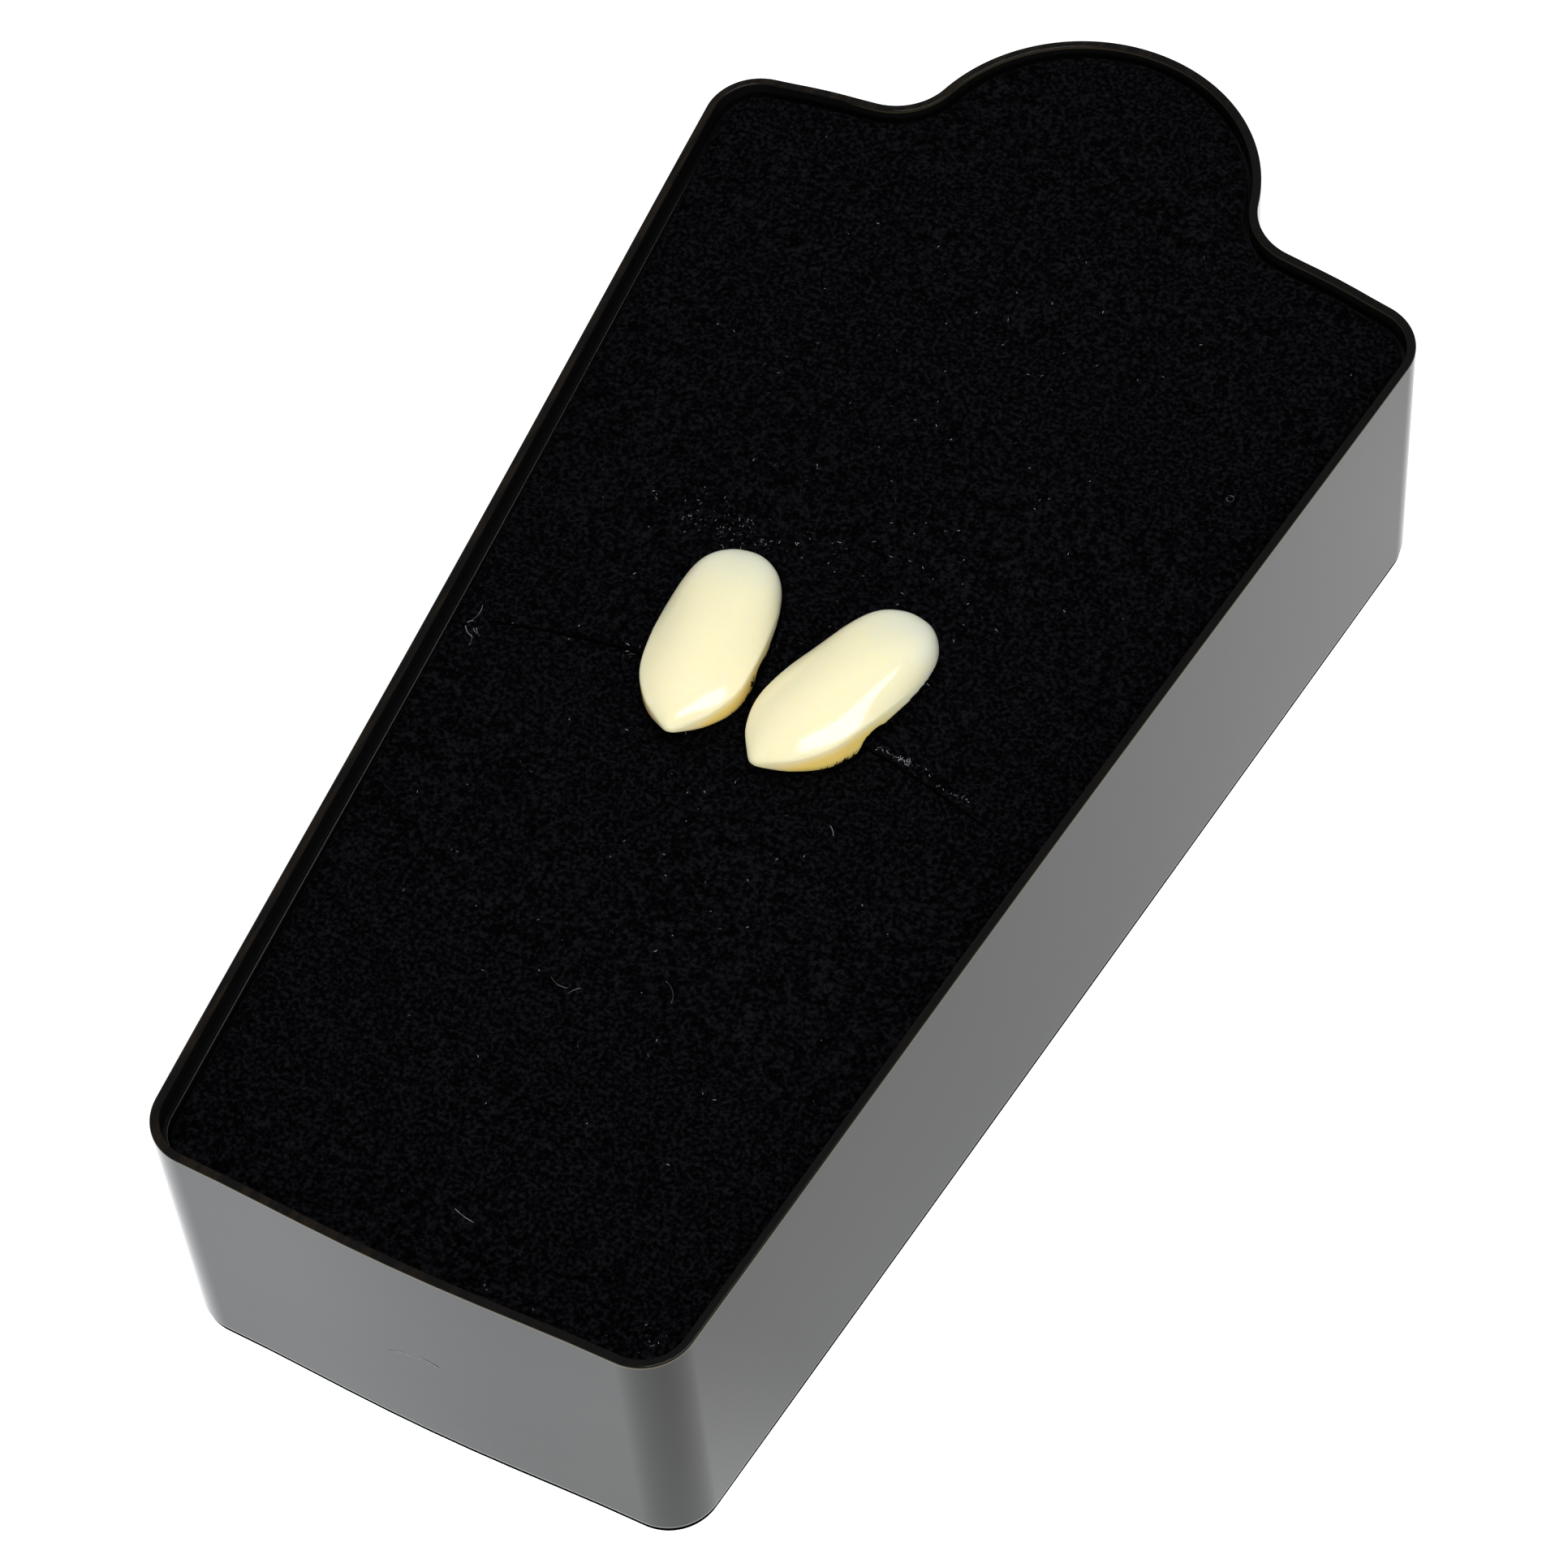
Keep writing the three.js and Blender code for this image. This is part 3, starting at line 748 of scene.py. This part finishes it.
# Where lint lies on the pad: middle, half extents, number of bits and their longest length
LINT_PATCHES = [
    {"x": 0, "y": -22, "wide": 17, "deep": 26, "count": 70, "longest": 0.22},
    {"x": 0, "y": 22, "wide": 20, "deep": 24, "count": 90, "longest": 0.24},
    {"x": -8.2, "y": 4.9, "wide": 4.6, "deep": 1.8, "count": 80, "longest": 0.22},
    {"x": 3, "y": 4, "wide": 14, "deep": 9, "count": 45, "longest": 0.26},
    {"x": 10.2, "y": -6.3, "wide": 1.9, "deep": 0.12, "count": 30, "longest": 0.3},
    {"x": 14.3, "y": -7.0, "wide": 2.4, "deep": 0.12, "count": 12, "longest": 0.22},
    {"x": -9.2, "y": -6.5, "wide": 0.5, "deep": 0.3, "count": 8, "longest": 0.3},
    {"x": -19.4, "y": -9.2, "wide": 1.2, "deep": 0.8, "count": 6, "longest": 1.3},
    {"x": 9.5, "y": -50.2, "wide": 5, "deep": 0.25, "count": 12, "longest": 0.22},
    {"x": 15.5, "y": -48.8, "wide": 1.0, "deep": 1.2, "count": 9, "longest": 0.2},
]

# Single longer hairs: start, direction, length and bend, with both angles in degrees
LINT_HAIRS = [
    {"x": -1.9, "y": -29.6, "turn": -35, "length": 1.4, "bend": 60},
    {"x": -0.4, "y": -30.2, "turn": 70, "length": 0.9, "bend": -40},
    {"x": 4.6, "y": -26.8, "turn": -20, "length": 1.7, "bend": -70},
    {"x": 19.6, "y": 21.0, "turn": -60, "length": 1.2, "bend": 290},
    {"x": 0.9, "y": -46.2, "turn": -20, "length": 1.5, "bend": 20},
    {"x": 8.9, "y": -13.0, "turn": 120, "length": 0.8, "bend": 30},
    {"x": -19.8, "y": -8.8, "turn": 60, "length": 1.6, "bend": 60},
]

LINT_SEED = 11
# Bits gather in the middle of a patch, and are from this share to all of its longest length
LINT_GATHER = 0.5
LINT_SHORTEST = 0.3
LINT_BEND = 90
STRAND_STEPS = 6
STRAND_LIFT = 0.05
# How far the lint keeps from the foot and from the long walls
FOOT_MARGIN = 1.6
SIDE_MARGIN = 2.2

FRINGE_SEED = 5
FRINGE_COUNT = 420
# Where rays towards a cap start, how high over the pad, and how far out and down a fibre's root is
FRINGE_START = 14
FRINGE_LEVEL = 0.1
FRINGE_OUT = (0.02, 0.22)
FRINGE_SINK = 0.08
FRINGE_LENGTH = (0.3, 0.75)
# How far a fibre leans at random, leans over the cap and curls towards it, as shares of its length
FRINGE_SPREAD = 0.3
FRINGE_LEAN = 0.6
FRINGE_CURL = 0.3


def strand(x, y, height, turn, size, bend):
    """A bent fibre that lies on the pad."""
    points = []
    steps = STRAND_STEPS
    for k in range(steps + 1):
        points.append(Vector((x, y, height(x, y) + STRAND_LIFT)))
        angle = math.radians(turn + bend * k / steps)
        x += math.cos(angle) * size / steps
        y += math.sin(angle) * size / steps
    return points


def fibres(name, strands, radius):
    """Thin closed tubes along the given lines."""
    curve = bpy.data.curves.new(name, "CURVE")
    curve.dimensions = "3D"
    curve.bevel_depth = radius
    curve.bevel_resolution = 0
    curve.use_fill_caps = True
    for points in strands:
        spline = curve.splines.new("POLY")
        spline.points.add(len(points) - 1)
        for k, point in enumerate(points):
            spline.points[k].co = (point.x, point.y, point.z, 1)
            spline.points[k].radius = 1 if k < len(points) - 1 else FIBRE_TIP
    piece = bpy.data.objects.new(name, curve)
    bpy.context.collection.objects.link(piece)
    activate(piece)
    bpy.ops.object.convert(target="MESH")
    face_outwards(piece)
    return piece


def make_lint(tray, pad):
    def height(x, y):
        return pad_top(tray, pad, y) + pad_relief(tray, pad, x, y)

    draw = random.Random(LINT_SEED)
    strands = []
    for patch in LINT_PATCHES:
        for _ in range(patch["count"]):
            x = patch["x"] + draw.gauss(0, LINT_GATHER) * patch["wide"]
            y = patch["y"] + draw.gauss(0, LINT_GATHER) * patch["deep"]
            size = patch["longest"] * draw.uniform(LINT_SHORTEST, 1)
            turn, bend = draw.uniform(0, 360), draw.uniform(-LINT_BEND, LINT_BEND)
            if on_pad(tray, pad, x, y):
                strands.append(strand(x, y, height, turn, size, bend))
    for hair in LINT_HAIRS:
        strands.append(strand(hair["x"], hair["y"], height, hair["turn"], hair["length"], hair["bend"]))
    return fibres("pad_lint", strands, LINT_RADIUS)


def on_pad(tray, pad, x, y):
    """Whether a point is well inside the pad, in front of its arch."""
    along = y + middle_of(tray)
    spread = tray.shoulder_half_width - tray.foot_half_width
    half_width = tray.foot_half_width + spread * along / tray.shoulder_length
    return FOOT_MARGIN < along < tray.shoulder_length and abs(x) < half_width - SIDE_MARGIN


def make_fringe(tray, pad, caps):
    """Short flock fibres that stand up around the caps and lap over their lower edges."""
    draw = random.Random(FRINGE_SEED)
    strands = []
    for cap in caps:
        tree = BVHTree.FromObject(cap, bpy.context.evaluated_depsgraph_get())
        centre = sum((v.co for v in cap.data.vertices), Vector()) / len(cap.data.vertices)
        for _ in range(FRINGE_COUNT):
            angle = draw.uniform(0, math.pi * 2)
            out = Vector((math.cos(angle), math.sin(angle), 0))
            level = pad_top(tray, pad, centre.y) + FRINGE_LEVEL
            start = Vector((centre.x, centre.y, level)) + out * FRINGE_START
            hit = tree.ray_cast(start, -out)[0]
            if hit is None:
                continue
            root = hit + out * draw.uniform(*FRINGE_OUT)
            root.z = pad_top(tray, pad, root.y) + pad_relief(tray, pad, root.x, root.y) - FRINGE_SINK
            size = draw.uniform(*FRINGE_LENGTH)
            lean = Vector((draw.gauss(0, FRINGE_SPREAD), draw.gauss(0, FRINGE_SPREAD), 1))
            lean -= out * draw.uniform(0, FRINGE_LEAN)
            middle = root + lean * size * 0.5
            strands.append([root, middle, middle + (lean - out * FRINGE_CURL) * size * 0.5])
    return fibres("pad_fringe", strands, FRINGE_RADIUS)


# Materials

def both_ways(operation):
    """An operator of a Math node and its reflected form."""
    def own(self, other):
        return self.math(operation, self, other)

    def reflected(self, other):
        return self.math(operation, other, self)

    return own, reflected


class Shade:
    """A shader socket whose sums, products and comparisons add their own Math nodes."""

    def __init__(self, board, socket):
        self.board = board
        self.socket = socket

    def math(self, operation, *values):
        node = self.board.tree.nodes.new("ShaderNodeMath")
        node.operation = operation
        for slot, value in zip(node.inputs, values):
            self.board.feed(slot, value)
        return Shade(self.board, node.outputs[0])

    __add__, __radd__ = both_ways("ADD")
    __sub__, __rsub__ = both_ways("SUBTRACT")
    __mul__, __rmul__ = both_ways("MULTIPLY")
    __lt__, __gt__ = both_ways("LESS_THAN")

    def ramp(self, low, high):
        """0 below low, 1 above high and smooth between them."""
        return self.board.add(
            "ShaderNodeMapRange", {"interpolation_type": "SMOOTHSTEP"},
            {"Value": self, "From Min": low, "From Max": high}, "Result",
        )


class Board:
    """The node tree of one material, with its Principled shader."""

    def __init__(self, name, **constants):
        self.material = bpy.data.materials.new(name)
        self.material.use_nodes = True
        self.tree = self.material.node_tree
        self.shader = self.tree.nodes["Principled BSDF"]
        for socket, value in constants.items():
            self.shader.inputs[socket.replace("_", " ")].default_value = value

    def feed(self, slot, value):
        if isinstance(value, Shade):
            self.tree.links.new(value.socket, slot)
        elif isinstance(value, (int, float)):
            slot.default_value = value
        else:
            slot.default_value = tuple(value) + (1,) * (slot.type == "RGBA" and len(value) == 3)

    def add(self, kind, settings, sockets, output):
        node = self.tree.nodes.new(kind)
        for name, value in settings.items():
            setattr(node, name, value)
        for name, value in sockets.items():
            self.feed(node.inputs[name], value)
        return Shade(self, node.outputs[output])

    def set(self, socket, value):
        self.feed(self.shader.inputs[socket], value)

    def place(self):
        return self.add("ShaderNodeTexCoord", {}, {}, "Object")

    def axes(self):
        parts = self.tree.nodes.new("ShaderNodeSeparateXYZ")
        self.feed(parts.inputs[0], self.place())
        return [Shade(self, socket) for socket in parts.outputs]

    def attribute(self, name):
        return self.add("ShaderNodeAttribute", {"attribute_name": name}, {}, "Fac")

    def noise(self, size, detail, vector=None):
        """Noise whose features are about size metres across."""
        sockets = {"Vector": vector or self.place(), "Scale": 1 / size, "Detail": detail}
        return self.add("ShaderNodeTexNoise", {}, sockets, "Fac")

    def stretched(self, scale):
        return self.add("ShaderNodeMapping", {}, {"Vector": self.place(), "Scale": scale}, "Vector")

    def blend(self, factor, first, second):
        """The first colour where the factor is 0 and the second where it is 1."""
        node = self.tree.nodes.new("ShaderNodeMix")
        node.data_type = "RGBA"
        self.feed(node.inputs[0], factor)
        self.feed(node.inputs[6], first)
        self.feed(node.inputs[7], second)
        return Shade(self, node.outputs[2])

    def specks(self, cell, radius, kept):
        """1 inside small round specks, one in some of the cells, and 0 elsewhere."""
        sockets = {"Vector": self.place(), "Scale": 1 / cell, "Randomness": 1}
        distance = self.add("ShaderNodeTexVoronoi", {}, sockets, "Distance")
        colour_of_cell = self.add("ShaderNodeTexVoronoi", {}, sockets, "Color")
        draw = self.add("ShaderNodeSeparateColor", {}, {"Color": colour_of_cell}, "Red")
        return (distance < radius / cell) * (draw < kept)

    def bump(self, height, strength, distance):
        normal = self.add(
            "ShaderNodeBump", {}, {"Height": height, "Strength": strength, "Distance": distance},
            "Normal",
        )
        self.set("Normal", normal)


def band(value, low, high):
    """1 between low and high, with soft ends, and 0 elsewhere."""
    soft = (high - low) * 0.3
    return value.ramp(low, low + soft) * (1 - value.ramp(high - soft, high))


def plain_material(name, grey, roughness):
    return Board(name, Base_Color=(grey, grey, grey, 1), Roughness=roughness).material


def plastic_material(colours, tray):
    """Glossy moulded plastic with a browner rim, two painted edge highlights, a little dust and faint
    scuffs.
    """
    board = Board("glossy_black_plastic", IOR=1.28)
    x, y, z = board.axes()
    top = tray.height * MM
    ledge = (tray.height - tray.ledge_drop) * MM
    # Brown streaks on the top of the rim, browner towards the left end
    streaks = board.noise(0.5 * MM, 3, board.stretched((1, 0.12, 1))).ramp(0.4, 0.65)
    rim = z.ramp(top - 0.1 * MM, top - 0.02 * MM) * (streaks * 0.7 + 0.1)
    browner_left = 1 - x.ramp(-10 * MM, 14 * MM) * 0.8
    body = board.blend(rim * browner_left, colours.plastic, colours.plastic_rim)
    # Painted highlight along the rim's outer edge, left out at the left wall and fainter towards the head
    painted_rim_highlight = band(z, top - 0.24 * MM, top - 0.05 * MM) * x.ramp(-18 * MM, -16 * MM)
    fainter_head = 1 - y.ramp(20 * MM, 40 * MM) * 0.6
    body = board.blend(painted_rim_highlight * fainter_head, body, colours.plastic_edge)
    # Painted highlight: a thin light line just under the edge of the ledge
    painted_ledge_line = band(z, ledge - 0.09 * MM, ledge - 0.005 * MM) * board.attribute("ledge_edge")
    body = board.blend(painted_ledge_line, body, colours.plastic_ledge)
    dust = board.specks(3 * MM, 0.11 * MM, 0.1)
    board.set("Base Color", board.blend(dust * 0.9, body, colours.dust))
    scuffs = board.noise(1.4 * MM, 3, board.stretched((1, 1, 9))).ramp(0.62, 0.8)
    cloud = board.noise(16 * MM, 2)
    board.set("Roughness", 0.1 + cloud * 0.08 + scuffs * 0.06 + dust * 0.5)
    ripple = board.noise(7 * MM, 2) * 0.6 + board.noise(0.5 * MM, 2) * 0.04 + scuffs * 0.04
    board.bump(ripple + dust * 0.1, 0.12, 0.15 * MM)
    return board.material


def flock_material(colours):
    """Short dull flock: dark hollows between lighter fibre tips."""
    board = Board("black_flock", Sheen_Weight=0.008, Sheen_Roughness=0.5, Specular_IOR_Level=0.01)
    fibres = board.noise(0.3 * MM, 2)
    points = board.noise(0.16 * MM, 2)
    clumps = board.noise(0.9 * MM, 2)
    tips = (fibres * 0.6 + points * 0.25 + clumps * 0.15).ramp(0.42, 0.69)
    board.set("Base Color", board.blend(tips, colours.flock, colours.flock_light))
    board.set("Roughness", 0.95 - tips * 0.1)
    board.bump(fibres, 0.6, 0.12 * MM)
    return board.material


def lint_material(colours):
    """Pale dust and hairs, some brighter than others."""
    board = Board("pale_lint", Roughness=0.8, Specular_IOR_Level=0.2)
    shade = board.noise(0.9 * MM, 0).ramp(0.35, 0.65)
    board.set("Base Color", board.blend(shade, [c * 0.15 for c in colours.lint], colours.lint))
    return board.material


def tooth_material(colours):
    """Polished tooth acrylic: ivory body, greyer gum end and golden heel, whose amber is partly painted
    shade.
    """
    board = Board(
        "tooth_acrylic", IOR=1.5, Subsurface_Weight=0.6, Subsurface_Scale=1.1 * MM,
        Subsurface_Radius=(1.0, 0.72, 0.36),
    )
    along = board.attribute("cap_along")
    flank = board.attribute("cap_flank")
    clouds = board.noise(3 * MM, 3) - 0.5
    gum = (along + clouds * 0.1).ramp(0.62, 1.02)
    body = board.blend(gum, colours.ivory, colours.gum)
    # The heel's amber is partly the acrylic's own tint and partly painted shade, deepening from the crease
    # down the flank
    heel = (flank + clouds * 0.2).ramp(-0.1, 0.9) * (1 - along.ramp(0.42, 0.7)) * along.ramp(0, 0.12)
    board.set("Base Color", board.blend(heel * 0.92, body, colours.amber))
    board.set("Roughness", 0.08 + board.noise(1.5 * MM, 2) * 0.05)
    board.bump(board.noise(2.5 * MM, 2), 0.05, 0.1 * MM)
    return board.material


def table_material(colours, glow):
    """A pale table glowing with painted light and shadow: brightest before the tray's foot, darkest along
    its right side.
    """
    board = Board("white_table", Roughness=0.8)
    x, y, _ = board.axes()
    # Painted light before the foot, a little painted shade close to the foot wall, more painted light
    # towards the head
    front = (1 - x.ramp(8 * MM, 40 * MM)) * (1 - y.ramp(-50 * MM, -36 * MM))
    foot_shade = y.ramp(-60 * MM, -52 * MM) * 0.08
    head_light = y.ramp(-20 * MM, 40 * MM) * 0.12
    light = 0.54 + front * (0.46 - foot_shade) + head_light
    board.set("Base Color", colours.table)
    # Painted reflections: the glow is bluer before the foot and greener to the right, for the walls to
    # mirror
    painted_reflection_tint = board.blend(x.ramp(0, 40 * MM), (0.965, 0.985, 1), (0.985, 1, 0.975))
    board.set("Emission Color", board.blend(light, (0, 0, 0), painted_reflection_tint))
    board.shader.inputs["Emission Strength"].default_value = glow
    return board.material


# Operators

class FANGS_OT_tray(bpy.types.Operator):
    """Adds the open plastic tray"""

    bl_idname = "fangs.tray"
    bl_label = "Tray"

    def execute(self, context):
        tray = millimetres(context.scene.fang_tray)
        material = plastic_material(context.scene.fang_finishes, tray)
        piece = finish_piece(make_tray(tray), material, "tray")
        apply_modifier(piece, "WEIGHTED_NORMAL", keep_sharp=True, weight=100)
        pale = plain_material("scratched_plastic", 0.4, 0.8)
        finish_piece(make_scratch(tray), pale, None)
        return {"FINISHED"}


class FANGS_OT_pad(bpy.types.Operator):
    """Adds the flocked foam pad with its slit"""

    bl_idname = "fangs.pad"
    bl_label = "Flocked pad"

    def execute(self, context):
        tray, pad, cap = read_sizes(context.scene)
        seats = [cap_seat(tray, pad, cap, seat) for seat in CAP_SEATS]
        piece = make_pad(tray, pad, seats)
        finish_piece(piece, flock_material(context.scene.fang_finishes), "foam_pad")
        return {"FINISHED"}


class FANGS_OT_caps(bpy.types.Operator):
    """Adds the two hollow fang caps, hooked into the slit"""

    bl_idname = "fangs.caps"
    bl_label = "Fang caps"

    def execute(self, context):
        tray, pad, cap = read_sizes(context.scene)
        material = tooth_material(context.scene.fang_finishes)
        caps = [make_cap(tray, pad, cap, seat) for seat in CAP_SEATS]
        fringe = make_fringe(tray, pad, caps)
        finish_piece(fringe, flock_material(context.scene.fang_finishes), None)
        for piece, seat in zip(caps, CAP_SEATS):
            finish_piece(piece, material, seat["node"], math.pi)
        return {"FINISHED"}


class FANGS_OT_lint(bpy.types.Operator):
    """Adds the lint that lies on the pad"""

    bl_idname = "fangs.lint"
    bl_label = "Lint"

    def execute(self, context):
        tray, pad, _ = read_sizes(context.scene)
        finish_piece(make_lint(tray, pad), lint_material(context.scene.fang_finishes), None)
        return {"FINISHED"}


# Softboxes in metres: the property with its power, where it stands, its sides, whether gloss shows
# it, and the turn about Z of one that hangs level. The others face the lit point.
SOFTBOXES = [
    {"name": "key_softbox", "power": "key", "place": (-0.28, 0.28, 0.7), "size": (0.5, 0.5),
     "in_gloss": False},
    {"name": "fill", "power": "fill", "place": (0.27, -0.46, 0.15), "size": (0.4, 0.2),
     "in_gloss": False},
    {"name": "window", "power": "window", "place": (0.247, -0.005, 0.526), "size": (0.505, 0.15),
     "in_gloss": True, "turn": 42},
]
LIT_POINT = (0, 0, 0.02)
TABLE_SIDE = 4
SENSOR_WIDTH = 36
NEAREST_VIEW = 0.01
# The contact shadow in millimetres: how far it keeps inside the tray's base, and its height
SHADOW_INSET = 0.12
SHADOW_HEIGHT = 0.02


def camera_turn(studio):
    """The camera's axes: right, up and back, rolled about the line of sight."""
    back = Vector((
        math.sin(studio.turn) * math.cos(studio.tilt),
        -math.cos(studio.turn) * math.cos(studio.tilt),
        math.sin(studio.tilt),
    ))
    right = Vector((0, 0, 1)).cross(back).normalized()
    up = back.cross(right)
    cosine, sine = math.cos(studio.roll), math.sin(studio.roll)
    rolled_right = right * cosine + up * sine
    rolled_up = up * cosine - right * sine
    return Matrix((rolled_right, rolled_up, back)).transposed()


def add_softbox(box, power):
    deselect()
    bpy.ops.object.light_add(type="AREA", location=box["place"])
    light = bpy.context.object
    light.name = box["name"]
    light.visible_glossy = box["in_gloss"]
    light.data.shape = "RECTANGLE"
    light.data.size, light.data.size_y = box["size"]
    light.data.energy = power
    towards = Vector(LIT_POINT) - Vector(box["place"])
    light.rotation_euler = towards.to_track_quat("-Z", "Y").to_euler()
    if "turn" in box:
        light.rotation_euler = (0, 0, math.radians(box["turn"]))


def add_table(material, tray):
    """The table, joined with the dark sheet where the tray touches it."""
    deselect()
    bpy.ops.mesh.primitive_plane_add(size=TABLE_SIDE)
    table = added("table")
    table.data.materials.append(material)
    shadow = filled_outline("shadow", outline(tray, SHADOW_INSET, base_bows(tray)), SHADOW_HEIGHT)
    shadow.data.materials.append(plain_material("contact_shadow", 0, 1))
    activate(shadow)
    shadow.scale = (MM, MM, MM)
    table.select_set(True)
    bpy.context.view_layer.objects.active = table
    bpy.ops.object.join()
    return table


def add_room(strength):
    world = bpy.data.worlds.new("room")
    world.use_nodes = True
    background = world.node_tree.nodes["Background"]
    background.inputs["Strength"].default_value = strength
    background.inputs["Color"].default_value = (1, 1, 1, 1)
    bpy.context.scene.world = world


def add_camera(studio):
    bpy.ops.object.camera_add(location=studio.place)
    camera = bpy.context.object
    camera.name = "camera"
    camera.data.sensor_width = SENSOR_WIDTH
    camera.data.lens = studio.lens
    camera.data.clip_start = NEAREST_VIEW
    camera.rotation_euler = camera_turn(studio).to_euler()
    bpy.context.scene.camera = camera


class FANGS_OT_studio(bpy.types.Operator):
    """Adds the pale table, the soft lights and the camera"""

    bl_idname = "fangs.studio"
    bl_label = "Studio"

    def execute(self, context):
        scene = context.scene
        studio = scene.fang_studio
        tray = millimetres(scene.fang_tray)
        table = add_table(table_material(scene.fang_finishes, studio.painted_table_light), tray)
        add_room(studio.sky)
        for box in SOFTBOXES:
            add_softbox(box, getattr(studio, box["power"]))
        add_camera(studio)
        scene.view_settings.view_transform = "Standard"
        return {"FINISHED"}


class FANGS_PT_panel(bpy.types.Panel):
    """Lists the pieces in the order in which they are made"""

    bl_label = "Fang caps"
    bl_space_type = "VIEW_3D"
    bl_region_type = "UI"
    bl_category = "Fang caps"

    def draw(self, context):
        for operator in OPERATORS:
            self.layout.operator(operator.bl_idname)


OPERATORS = (FANGS_OT_studio, FANGS_OT_tray, FANGS_OT_pad, FANGS_OT_caps, FANGS_OT_lint)
CLASSES = tuple(GROUPS.values()) + OPERATORS + (FANGS_PT_panel,)


def register():
    for cls in CLASSES:
        bpy.utils.register_class(cls)
    for name, group in GROUPS.items():
        setattr(bpy.types.Scene, name, PointerProperty(type=group))


def unregister():
    for name in GROUPS:
        delattr(bpy.types.Scene, name)
    for cls in reversed(CLASSES):
        bpy.utils.unregister_class(cls)


def main():
    register()
    bpy.ops.fangs.studio()
    bpy.ops.fangs.tray()
    bpy.ops.fangs.pad()
    bpy.ops.fangs.caps()
    bpy.ops.fangs.lint()


if __name__ == "__main__":
    main()
